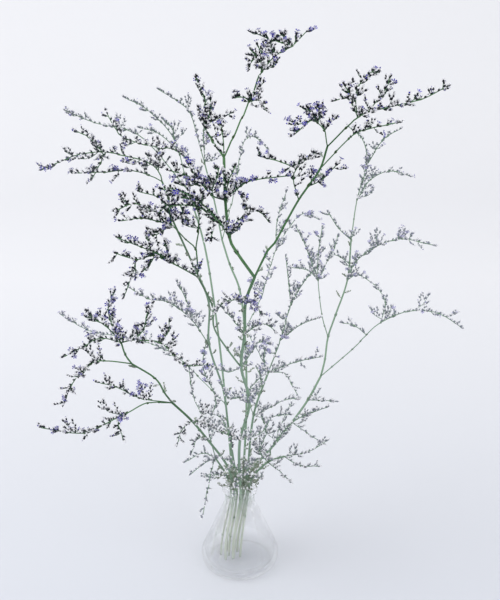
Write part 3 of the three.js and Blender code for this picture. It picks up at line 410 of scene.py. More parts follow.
# The side shoots of a long twig, which get shorter towards its tip
BRANCHLET_FROM_LENGTH = 12
BRANCHLET_SHARE = 0.6
BRANCHLET_TAPER = 1.1
BRANCHLET_SIZES = (0.8, 1.3)
BRANCHLET_LENGTHS = (3.2, 12)
BRANCHLET_RADIUS = 0.18
BRANCHLET_SLIMMING = (1, 0.85, 0.7)
BRANCHLET_SIDES = 3
BRANCHLET_SUNK = 0.4
BRANCHLET_LEAN_SPREAD = (-0.15, 0.2)
BRANCHLET_ROLLS = (0.5, 1.5)

# The second twigs between those of the solids, and the finest twigs
SECOND_TWIG_PLACES = (0.45, 0.8)
SECOND_TWIG_SIZE = 0.8
SECOND_TWIG_SIZES = (0.5, 1.4)
SECOND_TWIG_LEANS = (0.6, 1.1)
SECOND_TWIG_ROLLS = (0.3, 1.7)
SHORTEST_SECOND_TWIG = 4
FINE_TWIGS_PER_NODE = 2
FINE_TWIG_CHANCE = 0.75
FINE_TWIG_LEANS = (0.5, 1.2)
FINE_TWIG_LENGTHS = (5, 11)

# The tufts of small twigs on the bare arms, bushy over the vase's mouth and sparse further up
Tufts = namedtuple("Tufts", "chance lengths leans")
BUSHY = Tufts(0.7, (6, 15), (1.2, 2.4))
SPARSE = Tufts(0.1, (5, 12), (0.6, 1.4))
BUSHY_TO_HEIGHT = 118
TUFT_FROM_HEIGHT = 92
TUFT_STEP = 2
TUFT_REACH = 0.6

# The papery scales at the nodes
SCALES_PER_NODE = 2
BARE_NODES_WITH_SCALES = 0.5
SMALLEST_SCALE = 0.55
SCALE_GROWTH = 0.45
SCALE_SIZES = (0.8, 1.2)
SCALE_SUNK = 0.85

# The five petals of an open flower
PETALS = 5
THROAT_RADIUS = 0.2
THROAT_DEPTH = 1.1
PETAL_WIDEST = 0.75
PETAL_HALF_WIDTH = 0.6
PETAL_DROOP = 0.98

# Where flowers are open: waves along the three axes that add up above a level make a patch
PATCH_SIZE = 8
PATCH_SHIFT = np.array((0, 2, 1))
PATCH_LEVEL = 0.9
PATCH_CHANCE = 0.75
STRAY_CHANCE = 0.06
SPENT_TO_HEIGHT = 230

# The kinds of surface, with the least share that each has bleached by low on its stem
STEM, TWIG, TUFT, BRACT, SCALE, CALYX, PETAL = range(7)
WOOD_KINDS = (STEM, TWIG, TUFT, BRACT, SCALE)
FLORET_KINDS = (CALYX, PETAL)
ROUND_KINDS = (STEM, TWIG, TUFT)
LOW_BLEACHED = {STEM: 0.7, TWIG: 0.7, TUFT: 0, BRACT: 0.65, SCALE: 0.4, CALYX: 0.3, PETAL: 0.7}
# How far below its fresh height a stem has bleached fully
BLEACHING_HEIGHT = 120
# The height that the stalks turn to straw from, and where they are quite pale
STRAW_HEIGHTS = (105, 50)
STRAW = (0.62, 0.66, 0.58)
STRAW_SHARE = 0.85

# How a twig looks: the shares of its spikelets in flower and with a papery calyx, its stalk and its bracts
Habit = namedtuple("Habit", "flowers calyces stalk bract")
IN_FLOWER = Habit(0.5, 1, TWIG, BRACT)
PAST_FLOWER = Habit(0.06, 1, TWIG, BRACT)
SPENT = Habit(0, 1, TWIG, BRACT)
WITHERED = Habit(0, 0.3, TUFT, TUFT)

# How a kind of surface looks: its colours along a fine grain, the colour it bleaches to, and its relief
Look = namedtuple("Look", "name roughness pale grain colors relief_grain relief relief_depth")
PALE_GREEN = (0.31, 0.43, 0.33)
PALE_BROWN = (0.36, 0.39, 0.45)
PALE_VIOLET = (0.46, 0.45, 0.66)
PALE_STRAW = (0.3, 0.34, 0.25)
PALE_PAPER = (0.9, 0.9, 0.92)
LOOKS = {
    STEM: Look(
        "dried_green_stem", 0.6, PALE_GREEN, 28,
        ((0.3, (0.025, 0.085, 0.028)), (0.5, (0.05, 0.145, 0.05)), (0.72, (0.1, 0.22, 0.09))),
        1500, 0.5, 0.2),
    TWIG: Look(
        "dried_twig", 0.65, PALE_GREEN, 60,
        ((0.3, (0.035, 0.09, 0.045)), (0.55, (0.08, 0.18, 0.095)), (0.75, (0.17, 0.28, 0.17))),
        2500, 0.4, 0.1),
    TUFT: Look(
        "withered_twig", 0.7, PALE_STRAW, 110,
        ((0.3, (0.19, 0.24, 0.18)), (0.5, (0.32, 0.38, 0.31)), (0.7, (0.46, 0.51, 0.43))),
        2500, 0.4, 0.1),
    # The bracts are brown; their near-black colours add painted shade, the shade among the crowded florets
    BRACT: Look(
        "bract_brown_and_painted_shade", 0.7, PALE_BROWN, 240,
        ((0.3, (0.004, 0.005, 0.01)), (0.6, (0.01, 0.012, 0.022)), (0.8, (0.05, 0.045, 0.04))),
        3000, 0.5, 0.1),
    SCALE: Look(
        "node_scale", 0.7, PALE_GREEN, 200,
        ((0.35, (0.02, 0.04, 0.015)), (0.6, (0.055, 0.095, 0.035)), (0.8, (0.12, 0.13, 0.07))),
        2500, 0.5, 0.15),
    CALYX: Look(
        "papery_calyx", 0.55, PALE_PAPER, 330,
        ((0.3, (0.6, 0.6, 0.7)), (0.45, (0.88, 0.88, 0.91)), (0.65, (0.95, 0.95, 0.96))),
        2600, 0.35, 0.1),
    PETAL: Look(
        "violet_petal", 0.5, PALE_VIOLET, 180,
        ((0.3, (0.012, 0.008, 0.14)), (0.5, (0.032, 0.02, 0.32)), (0.7, (0.09, 0.065, 0.55))),
        3000, 0.3, 0.1),
}
GRAIN_DETAIL = 4
RELIEF_DETAIL = 2
SPECULAR_LEVEL = 0.25
# The sockets of a mix node that take the share and two colours, and the one that gives a colour
MIX_INPUTS = (0, 6, 7)
MIX_OUTPUT = 2

# The glass is clear where it faces the eye and denser towards its edges
GLASS_COLOR = (0.97, 0.985, 0.98, 1)
GLASS_ROUGHNESS = 0.03
GLASS_REFRACTION = 1.45
GLASS_EDGE_BLEND = 0.35
GLASS_OPACITY = (0.07, 0.62)
GLASS_RELIEF_GRAIN = 45
GLASS_RELIEF = 0.12
GLASS_RELIEF_DEPTH = 1


def unit(vector):
    return vector / np.linalg.norm(vector)


def lerp(start, end, share):
    return start + (end - start) * share


def rounded(value):
    """The nearest whole number, with halves rounded up."""
    return math.floor(value + 0.5)


def alternate(number):
    """The side that a twig or spikelet is on, which changes from number to number."""
    return 1 if number % 2 == 0 else -1


def draw(arm, place, purpose):
    """A repeatable draw from 0 to 1 for one twig of one arm."""
    mixed = math.sin(arm * ARM_FACTOR + place * PLACE_FACTOR + purpose * PURPOSE_FACTOR) * DRAW_SCALE
    return mixed - math.floor(mixed)


def curve_point(corners, share):
    """A point of the smooth curve through the corners, and the direction of the curve there."""
    spans = len(corners) - 1
    place = share * spans
    span = min(int(place), spans - 1)
    t = place - span
    p1, p2 = corners[span], corners[span + 1]
    p0 = corners[span - 1] if span > 0 else 2 * p1 - p2
    p3 = corners[span + 2] if span + 2 <= spans else 2 * p2 - p1
    m1, m2 = (p2 - p0) / 2, (p3 - p1) / 2
    a = 2 * p1 - 2 * p2 + m1 + m2
    b = 3 * p2 - 3 * p1 - 2 * m1 - m2
    point = ((a * t + b) * t + m1) * t + p1
    return point, unit((3 * a * t + 2 * b) * t + m1)


def rise_of(along):
    """The direction square to another that rises as steeply as it can."""
    reference = RIGHT if abs(along[2]) > NEARLY_UPRIGHT else UP
    side = unit(np.cross(along, reference))
    return np.cross(side, along)


def rises_along(tangents):
    """The upper side of a line at each of its points, without a twist from one to the next."""
    rise = rise_of(tangents[0])
    rises = []
    for along in tangents:
        rise = unit(rise - along * rise.dot(along))
        rises.append(rise)
    return rises


def leaning(along, rise, lean, roll):
    """A direction that leans off another by an angle, rolled round it from its upper side."""
    side = np.cross(along, rise)
    off = rise * math.cos(roll) + side * math.sin(roll)
    return unit(along * math.cos(lean) + off * math.sin(lean))


def shares_along(corners, longest):
    """Shares of the curve: every corner of the route and even steps between."""
    spans = len(corners) - 1
    shares = [0.0]
    for span in range(spans):
        length = np.linalg.norm(corners[span + 1] - corners[span])
        steps = max(1, rounded(length / longest))
        shares += [(span + step / steps) / spans for step in range(1, steps + 1)]
    return shares


class GrownArm:
    """An arm with its points, its directions and its upper side, as in the solids."""

    def __init__(self, stem, number, plan):
        self.stem, self.number, self.plan = stem, number, plan
        self.is_flowering = plan.bloom < 1
        self.corners = [np.array(place, float) for place in plan.route]
        self.shares = shares_along(self.corners, NODE_STEP if self.is_flowering else BARE_STEP)
        curve = [curve_point(self.corners, share) for share in self.shares]
        self.points = [point for point, _ in curve]
        self.tangents = [tangent for _, tangent in curve]
        self.rises = rises_along(self.tangents)
        self.last = len(self.points) - 1
        self.first_twig = max(1, rounded(plan.bloom * self.last))
        self.twigs = []

    def fine_point(self, share):
        """A point of the arm. A flowering arm bends a little to and fro from node to node."""
        point, along = curve_point(self.corners, share)
        if not self.is_flowering:
            return point
        place = np.interp(share, self.shares, range(self.last + 1))
        side = np.cross(along, rise_of(along))
        turn = place % 2
        swing = (3 if turn > 1 else 1) - 2 * turn
        return point + side * ZIGZAG * swing * min(1, place)

    def radius_at(self, share):
        return lerp(self.plan.from_radius, self.plan.to_radius, share)

    def between(self, place, share):
        """A point on the straight line from one node to the next, which has the number given."""
        return lerp(self.points[place - 1], self.points[place], share)

    def twig_places(self):
        """The numbers of the nodes that carry twigs, each with its share of the way to the tip."""
        span = max(1, self.last - self.first_twig)
        return [(place, (place - self.first_twig) / span) for place in range(self.first_twig, self.last + 1)]


Twig = namedtuple("Twig", "root tip direction length")


class Room:
    """What is already placed: straight pieces with a radius, each of one stem."""

    def __init__(self):
        self.starts, self.ends, self.radii, self.stems = [], [], [], []
        self.arrays = None

    def add(self, start, end, radius, stem):
        self.starts.append(start)
        self.ends.append(end)
        self.radii.append(radius)
        self.stems.append(stem)
        self.arrays = None

    def add_arm(self, arm):
        for place, (start, end) in enumerate(zip(arm.points, arm.points[1:])):
            self.add(start, end, arm.radius_at(place / arm.last), arm.stem)

    def add_twigs(self, arm):
        for twig in arm.twigs:
            self.add(twig.root, twig.tip, FLORET_REACH, arm.stem)

    def is_clear(self, start, end, radius, stem):
        if self.arrays is None:
            self.arrays = [np.array(values) for values in (self.starts, self.ends, self.radii, self.stems)]
        starts, ends, radii, stems = self.arrays
        others = stems != stem
        gap = distances(start, end, starts[others], ends[others])
        return bool(np.all(gap > radius + radii[others] + TWIG_CLEARANCE))


def distances(start, end, starts, ends):
    """The shortest distance from one straight piece to each of the others."""
    u, v, w = end - start, ends - starts, start - starts
    a, b, c = u.dot(u), v @ u, np.sum(v * v, 1)
    d, e = w @ u, np.sum(v * w, 1)
    spread = a * c - b * b
    apart = spread > NEARLY_PARALLEL
    s = np.where(apart, np.clip((b * e - c * d) / np.where(apart, spread, 1), 0, 1), 0)
    t = np.clip((b * s + e) / c, 0, 1)
    s = np.clip((b * t - d) / a, 0, 1)
    return np.linalg.norm(w + s[:, None] * u - t[:, None] * v, axis=1)


def clear_twig(arm, room, root, place, lean, roll, length, reach=FLORET_REACH):
    """A twig that is bent clear of the other stems, or nothing where no way is clear."""
    for turn in BEND_CLEAR_TURNS:
        direction = leaning(arm.tangents[place], arm.rises[place], lean, roll + turn)
        tip = root + direction * length
        if room.is_clear(root, tip, reach, arm.stem):
            return Twig(root, tip, direction, length)
    return None


def twigs_of(arm, room):
    """The twigs of a flowering arm: alternate, on its upper side, with one at the tip."""
    if not arm.is_flowering:
        return []
    twigs = []
    for place, share in arm.twig_places():
        lean = lerp(TWIG_LEAN_ROOT, TWIG_LEAN_TIP, share)
        roll = alternate(place) * (TWIG_ROLL + TWIG_ROLL_SPREAD * (draw(arm.number, place, ROLL_DRAW) - 0.5))
        size = lerp(*TWIG_SIZE, draw(arm.number, place, SIZE_DRAW))
        length = max(SHORTEST_TWIG, arm.plan.twig * (1 - TWIG_TAPER * share) * size)
        twigs.append(clear_twig(arm, room, arm.between(place, TWIG_PLACE), place - 1, lean, roll, length))
    root = arm.points[-1] - arm.tangents[-1] * TIP_FLORET_DEPTH
    twigs.append(clear_twig(arm, room, root, arm.last, 0, 0, TIP_TWIG))
    return [twig for twig in twigs if twig]


def second_twigs_of(arm, room, chance, dice):
    """Shorter twigs between the others, on both sides of the arm."""
    twigs = []
    for place, share in arm.twig_places():
        for number, along in enumerate(SECOND_TWIG_PLACES):
            roll = alternate(place + number) * dice.uniform(*SECOND_TWIG_ROLLS)
            length = arm.plan.twig * SECOND_TWIG_SIZE * (1 - TWIG_TAPER * share)
            length = max(SHORTEST_SECOND_TWIG, length * dice.uniform(*SECOND_TWIG_SIZES))
            lean = dice.uniform(*SECOND_TWIG_LEANS)
            twig = clear_twig(arm, room, arm.between(place, along), place - 1, lean, roll, length)
            if twig and dice.random() < chance:
                twigs.append(twig)
    return twigs


def fine_twigs_of(arm, room, chance, dice):
    """The finest twigs, short and straight, all round a flowering arm."""
    twigs = []
    for place, _ in arm.twig_places():
        for _ in range(FINE_TWIGS_PER_NODE):
            if dice.random() > chance:
                continue
            root = arm.between(place, dice.random())
            roll = dice.uniform(0, 2 * math.pi)
            lean = dice.uniform(*FINE_TWIG_LEANS)
            length = dice.uniform(*FINE_TWIG_LENGTHS)
            twigs.append(clear_twig(arm, room, root, place - 1, lean, roll, length))
    return [twig for twig in twigs if twig]


def tufts_of(arm, room, dice):
    """Small twigs along a bare arm above the vase, crowded just over its mouth."""
    twigs = []
    for place in range(1, arm.last + 1):
        count = round(np.linalg.norm(arm.points[place] - arm.points[place - 1]) / TUFT_STEP)
        for number in range(count):
            root = arm.between(place, (number + 0.5) / count)
            tufts = BUSHY if root[2] < BUSHY_TO_HEIGHT else SPARSE
            if root[2] < TUFT_FROM_HEIGHT or dice.random() > tufts.chance:
                continue
            roll = dice.uniform(0, 2 * math.pi)
            lean = dice.uniform(*tufts.leans)
            length = dice.uniform(*tufts.lengths)
            twigs.append(clear_twig(arm, room, root, place - 1, lean, roll, length, TUFT_REACH))
    return [twig for twig in twigs if twig]


def ring(corners, *pairs):
    """Points evenly round the Z axis, which take the pairs of (radius, height) in turn."""
    points = []
    for corner in range(corners):
        radius, height = pairs[corner % len(pairs)]
        angle = 2 * math.pi * corner / corners
        points.append((radius * math.cos(angle), radius * math.sin(angle), height))
    return points


def skin(rings):
    """Points and faces of an open skin over rings, each with as many corners as the last or twice as many."""
    faces, start = [], 0
    for below, above in zip(rings, rings[1:]):
        corners, after = len(below), start + len(below)
        for corner in range(corners):
            beside = (corner + 1) % corners
            if len(above) == corners:
                faces.append((start + corner, start + beside, after + beside, after + corner))
            else:
                tip, notch, next_tip = (after + (2 * corner + k) % len(above) for k in range(3))
                faces.append((start + corner, notch, tip))
                faces.append((start + corner, start + beside, notch))
                faces.append((start + beside, next_tip, notch))
        start = after
    return np.array([point for points in rings for point in points]), faces


def petals(reach, height):
    """The petals round the throat, each a pair of folded halves."""
    points, faces = [], []
    for petal in range(PETALS):
        angle = 2 * math.pi * (petal + 0.5) / PETALS
        out = np.array((math.cos(angle), math.sin(angle), 0))
        across = np.array((-math.sin(angle), math.cos(angle), 0))
        start = len(points)
        points += [
            out * THROAT_RADIUS + UP * (height - THROAT_DEPTH),
            out * reach * PETAL_WIDEST - across * PETAL_HALF_WIDTH + UP * height,
            out * reach + UP * height * PETAL_DROOP,
            out * reach * PETAL_WIDEST + across * PETAL_HALF_WIDTH + UP * height,
        ]
        faces += [(start, start + 1, start + 2), (start, start + 2, start + 3)]
    return np.array(points), faces


# The small shapes of a spikelet stand on its root along +Z. Their rings are given as (radius, height)
BRACT_SKIN = skin([ring(4, (0.2, -0.5)), ring(4, (0.9, 0.7)), ring(4, (0.75, 2.1), (0.6, 1.6))])
CALYX_SKIN = skin([ring(5, (0.45, 1.2)), ring(5, (0.6, 2.1)), ring(10, (1.15, 3.1), (0.8, 2.7))])
PETAL_SKIN = petals(reach=2.1, height=3.6)
BUD_SKIN = skin([ring(4, (0.35, 1.8)), ring(4, (0.6, 2.8)), ring(4, (0.08, 3.9))])
# A scale is a folded leaf with its outer side towards +Y and its tip towards +Z
SCALE_SKIN = (
    np.array([
        (-0.7, 0, -0.6), (0.7, 0, -0.6), (0.95, 0.25, 0.9),
        (0, 0.55, 0.9), (-0.95, 0.25, 0.9), (0, 0.9, 3),
    ]),
    [(0, 1, 2, 3), (0, 3, 4), (4, 3, 5), (3, 2, 5)],
)


def mesh_of(name, points, faces, materials):
    mesh = bpy.data.meshes.new(name)
    mesh.from_pydata(points, [], faces)
    for material in materials:
        mesh.materials.append(material)
    return mesh


def in_scene(name, data):
    """A new object of the scene."""
    thing = bpy.data.objects.new(name, data)
    bpy.context.scene.collection.objects.link(thing)
    return thing


class Growth:
    """The mesh of one stem as it grows."""

    def __init__(self):
        self.points, self.faces, self.kinds, self.count = [], [], [], 0

    def add(self, points, faces, kind):
        self.points.append(np.asarray(points))
        self.faces += [tuple(corner + self.count for corner in face) for face in faces]
        self.kinds += [kind] * len(faces)
        self.count += len(points)

    def tube(self, line, radii, sides, kind):
        """A round tube along a line of points, closed at both ends."""
        tangents = [unit(line[min(i + 1, len(line) - 1)] - line[max(i - 1, 0)]) for i in range(len(line))]
        rises = rises_along(tangents)
        angles = np.arange(sides) * 2 * math.pi / sides
        rings = []
        for point, along, rise, radius in zip(line, tangents, rises, radii):
            side = np.cross(along, rise)
            rings.append([point + radius * (rise * math.cos(a) + side * math.sin(a)) for a in angles])
        points, faces = skin(rings)
        end = len(points) - sides
        self.add(points, faces + [tuple(range(end, end + sides)), tuple(range(sides - 1, -1, -1))], kind)

    def place(self, shape, origin, along, spin, size, kind):
        """A small shape that stands on a point along a direction."""
        points, faces = shape
        rise = rise_of(along)
        side = np.cross(rise, along)
        first = rise * math.cos(spin) + side * math.sin(spin)
        axes = np.array((first, np.cross(along, first), along))
        self.add(origin + (points * size) @ axes, faces, kind)

    def spikelet(self, origin, along, dice, habit):
        """A floret in its bract: papery calyx, with open petals, a closed bud or neither."""
        spin = dice.uniform(0, 2 * math.pi)
        size = dice.uniform(*SPIKELET_SIZE)
        self.place(BRACT_SKIN, origin, along, spin, size, habit.bract)
        if dice.random() < habit.calyces:
            self.place(CALYX_SKIN, origin, along, spin, size, CALYX)
        if dice.random() < habit.flowers:
            self.place(PETAL_SKIN, origin, along, spin, size, PETAL)
        elif dice.random() < IN_BUD_SHARE and habit.flowers:
            self.place(BUD_SKIN, origin, along, spin, size, PETAL)

    def mesh_object(self, name, materials, kinds):
        """An object of the chosen kinds of faces, with one material for each kind."""
        chosen = [(face, kind) for face, kind in zip(self.faces, self.kinds) if kind in kinds]
        points = np.concatenate(self.points)
        used = np.zeros(len(points), bool)
        used[[corner for face, _ in chosen for corner in face]] = True
        numbers = np.cumsum(used) - 1
        faces = [tuple(int(numbers[corner]) for corner in face) for face, _ in chosen]
        mesh = mesh_of(name, (points[used] * MM).tolist(), faces, [materials[kind] for kind in kinds])
        mesh.polygons.foreach_set("material_index", [kinds.index(kind) for _, kind in chosen])
        mesh.polygons.foreach_set("use_smooth", [kind in ROUND_KINDS for _, kind in chosen])
        mesh.update()
        return in_scene(name, mesh)


def habit_at(point, dice):
    """Flowers are open in patches through the bunch, and seldom between them."""
    if point[2] < SPENT_TO_HEIGHT:
        return SPENT
    x, y, z = point / PATCH_SIZE + PATCH_SHIFT
    is_in_patch = math.sin(x) + math.sin(y) + math.sin(z) > PATCH_LEVEL
    return IN_FLOWER if dice.random() < (PATCH_CHANCE if is_in_patch else STRAY_CHANCE) else PAST_FLOWER


def stalk_share(number, count):
    """How far up its stalk one of a count of spikelets is."""
    return (number + FIRST_STEP) / (count + EXTRA_STEPS)


def grow_branchlet(growth, root, direction, length, habit, dice):
    """A side shoot of a twig with spikelets on both sides and one at its tip."""
    rise = rise_of(direction)
    tip = root + direction * length
    middle = (root + tip) / 2 - rise * length * TWIG_BOW
    radii = [BRANCHLET_RADIUS * share for share in BRANCHLET_SLIMMING]
    growth.tube([root - direction * BRANCHLET_SUNK, middle, tip], radii, BRANCHLET_SIDES, habit.stalk)
    count = max(1, round(length / SPIKELET_STEP) - 1)
    for number in range(count):
        share = stalk_share(number, count)
        point = lerp(root, tip, share) - rise * length * TWIG_BOW * math.sin(math.pi * share)
        roll = alternate(number) * dice.uniform(*BRANCHLET_ROLLS)
        lean = SPIKELET_LEAN + dice.uniform(*BRANCHLET_LEAN_SPREAD)
        along = leaning(direction, rise, lean, roll)
        growth.spikelet(point + along * SMALL_STAND_OFF, along, dice, habit)
    growth.spikelet(tip, direction, dice, habit)


def grow_twig(growth, twig, habit, dice):
    """A twig as a bowed stalk with side shoots where it is long, spikelets, and one more at its tip."""
    rise = rise_of(twig.direction)
    reach = twig.length - LAST_SPIKELET
    steps = max(FEWEST_TWIG_STEPS, round(reach / TWIG_STEP))
    line = []
    for step in range(steps + 1):
        share = step / steps
        bow = rise * TWIG_BOW * reach * math.sin(math.pi * share)
        line.append(twig.root + twig.direction * reach * share - bow)
    radii = [lerp(*TWIG_RADIUS, step / steps) for step in range(steps + 1)]
    growth.tube(line, radii, TWIG_TUBE_SIDES, habit.stalk)
    count = max(1, round(reach / SPIKELET_STEP))
    for number in range(count):
        share = stalk_share(number, count)
        point, along = curve_point(line, share)
        # Two on one side and two on the other, so that both the shoots and the spikelets alternate
        roll = alternate(number // 2) * dice.uniform(*SPIKELET_ROLLS)
        lean = SPIKELET_LEAN + dice.uniform(*SPIKELET_LEAN_SPREAD)
        direction = leaning(along, rise_of(along), lean, roll)
        length = twig.length * BRANCHLET_SHARE * (BRANCHLET_TAPER - share) * dice.uniform(*BRANCHLET_SIZES)
        shortest, longest = BRANCHLET_LENGTHS
        is_shoot = number % 2 == 0 and length > shortest
        if twig.length > BRANCHLET_FROM_LENGTH and is_shoot:
            grow_branchlet(growth, point, direction, min(length, longest), habit, dice)
        else:
            growth.spikelet(point + direction * STAND_OFF, direction, dice, habit)
    growth.spikelet(line[-1], unit(line[-1] - line[-2]), dice, habit)


def grow_twigs(growth, twigs, dice):
    """Twigs that flower as their places in the bunch have it."""
    for twig in twigs:
        grow_twig(growth, twig, habit_at((twig.root + twig.tip) / 2, dice), dice)


def grow_scales(growth, point, along, radius, dice):
    """Papery scales that clasp an arm at a node."""
    points, faces = SCALE_SKIN
    start = dice.uniform(0, 2 * math.pi)
    for scale in range(SCALES_PER_NODE):
        roll = start + 2 * math.pi * scale / SCALES_PER_NODE
        off = leaning(along, rise_of(along), math.pi / 2, roll)
        axes = np.array((np.cross(off, along), off, along))
        size = (SMALLEST_SCALE + radius * SCALE_GROWTH) * dice.uniform(*SCALE_SIZES)
        growth.add(point + off * radius * SCALE_SUNK + (points * size) @ axes, faces, SCALE)


def grow_arm(growth, arm, dice):
    """An arm as a round tube with scales at its nodes, and florets close to it between its twigs."""
    shares = shares_along(arm.corners, FINE_STEP)
    slimmer = FLOWERING_ARM_SHARE if arm.is_flowering else 1
    line = [arm.fine_point(share) for share in shares]
    radii = [arm.radius_at(share) * slimmer for share in shares]
    growth.tube(line, radii, THICK_SIDES if arm.plan.from_radius >= THICK_RADIUS else THIN_SIDES, STEM)
    for place in range(1, arm.last):
        if arm.is_flowering or draw(arm.number, place, SIZE_DRAW) < BARE_NODES_WITH_SCALES:
            radius = arm.radius_at(arm.shares[place]) * slimmer
            grow_scales(growth, arm.points[place], arm.tangents[place], radius, dice)
    if not arm.is_flowering:
        return
    first = arm.first_twig - 1
    length = sum(np.linalg.norm(b - a) for a, b in zip(arm.points[first:], arm.points[first + 1:]))
    count = round(length / ARM_SPIKELET_STEP)
    for number in range(count):
        share = lerp(arm.shares[first], 1, (number + 0.5) / count)
        point, along = curve_point(arm.corners, share)
        roll = alternate(number) * dice.uniform(*ARM_SPIKELET_ROLLS)
        direction = leaning(along, rise_of(along), SPIKELET_LEAN, roll)
        root = point + direction * arm.radius_at(share) * slimmer
        growth.spikelet(root + direction * SMALL_STAND_OFF, direction, dice, SPENT)


def grow_stem(name, arms, room):
    """One stem with all that grows on it, as a piece of wood and a piece of florets."""
    stem = STEMS[name]
    dice = np.random.default_rng(SEED + arms[0].stem)
    growth = Growth()
    for arm in arms:
        grow_arm(growth, arm, dice)
        if arm.twigs:
            grow_twigs(growth, arm.twigs + second_twigs_of(arm, room, stem.fullness, dice), dice)
            continue
        for twig in tufts_of(arm, room, dice):
            grow_twig(growth, twig, WITHERED, dice)
    for arm in arms:
        if arm.twigs:
            grow_twigs(growth, fine_twigs_of(arm, room, FINE_TWIG_CHANCE * (1 - stem.bleached), dice), dice)
    materials = {kind: plant_material(kind, name) for kind in LOOKS}
    for part, kinds in (("wood", WOOD_KINDS), ("florets", FLORET_KINDS)):
        piece = growth.mesh_object(f"{name}_{part}", materials, kinds)
        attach(piece, "root")
        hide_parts(name)


def grow_stems():
    """All the stems. The twigs of the solids are placed first, and the finer growth keeps clear of them."""
    numbers = itertools.count()
    stems = [
        [GrownArm(number, next(numbers), arm) for arm in stem.arms]
        for number, stem in enumerate(STEMS.values())
    ]
    arms = [arm for stem_arms in stems for arm in stem_arms]
    room = Room()
    for arm in arms:
        room.add_arm(arm)
    for arm in arms:
        arm.twigs = twigs_of(arm, room)
        room.add_twigs(arm)
    for start, end in lip_pieces():
        room.add(start, end, LIP_RADIUS, VASE)
    for name, stem_arms in zip(STEMS, stems):
        grow_stem(name, stem_arms, room)


def lip_pieces():
    """The vase's rolled lip as straight pieces, which the finer growth keeps clear of."""
    corners = [np.array(point) for point in ring(LIP_SIDES, (NECK_RADIUS, VASE_HEIGHT - LIP_RADIUS))]
    return zip(corners, corners[1:] + corners[:1])


def quadratic(start, bend, end):
    """The points of a curve from a start, which is left out, to an end."""
    shares = [step / CURVE_STEPS for step in range(1, CURVE_STEPS + 1)]
    return [tuple(
        (1 - t) ** 2 * a + 2 * t * (1 - t) * b + t * t * c for a, b, c in zip(start, bend, end)
    ) for t in shares]


def vase_outline():
    """The vase's section as (radius, height), from the middle of the foot to the middle of the floor."""
    inner_neck = NECK_RADIUS - WALL
    slope = math.atan2(CONE_START_RADIUS - SHOULDER_RADIUS, SHOULDER_HEIGHT - CONE_START_HEIGHT)
    inward, downward = WALL * math.cos(slope), WALL * math.sin(slope)
    bend = (SHOULDER_HEIGHT + NECK_START_HEIGHT) / 2
    bulge = (WIDEST_HEIGHT + CONE_START_HEIGHT) / 2
    lip_height = VASE_HEIGHT - LIP_RADIUS
    outline = [(0, 0), (FOOT_RADIUS, 0)]
    outline += quadratic(outline[-1], (BODY_RADIUS, 0), (BODY_RADIUS, WIDEST_HEIGHT))
    outline += quadratic(outline[-1], (BODY_RADIUS, bulge), (CONE_START_RADIUS, CONE_START_HEIGHT))
    outline += [(SHOULDER_RADIUS, SHOULDER_HEIGHT)]
    outline += quadratic(outline[-1], (NECK_RADIUS, bend), (NECK_RADIUS, NECK_START_HEIGHT))
    for step in range(2 * CURVE_STEPS + 1):
        angle = -math.pi / 2 + LIP_TURN * step / (2 * CURVE_STEPS)
        radius = NECK_RADIUS + LIP_RADIUS * math.cos(angle)
        outline.append((radius, lip_height + LIP_RADIUS * math.sin(angle)))
    outline += [(inner_neck, NECK_START_HEIGHT)]
    outline += quadratic(
        outline[-1], (inner_neck, bend - downward), (SHOULDER_RADIUS - inward, SHOULDER_HEIGHT - downward))
    outline += [(CONE_START_RADIUS - inward, CONE_START_HEIGHT - downward / 2)]
    outline += quadratic(outline[-1], (BODY_RADIUS - WALL, FLOOR_THICKNESS), (FLOOR_RADIUS, FLOOR_THICKNESS))
    return outline + [(0, FLOOR_THICKNESS)]


def add_vase(glass):
    """The vase as one closed skin, turned from its outline."""
    outline = vase_outline()
    middle_points = [(0, 0, outline[0][1] * MM), (0, 0, outline[-1][1] * MM)]
    rings = [ring(VASE_SIDES, (radius * MM, height * MM)) for radius, height in outline[1:-1]]
    points, faces = skin(rings)
    last = len(points) - VASE_SIDES
    foot, floor = len(points), len(points) + 1
    for corner in range(VASE_SIDES):
        beside = (corner + 1) % VASE_SIDES
        faces.append((foot, beside, corner))
        faces.append((floor, last + corner, last + beside))
    mesh = mesh_of("vase_glass", points.tolist() + middle_points, faces, [glass])
    mesh.shade_smooth()
    piece = in_scene("vase_glass", mesh)
    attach(piece, "root")
    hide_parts("vase")


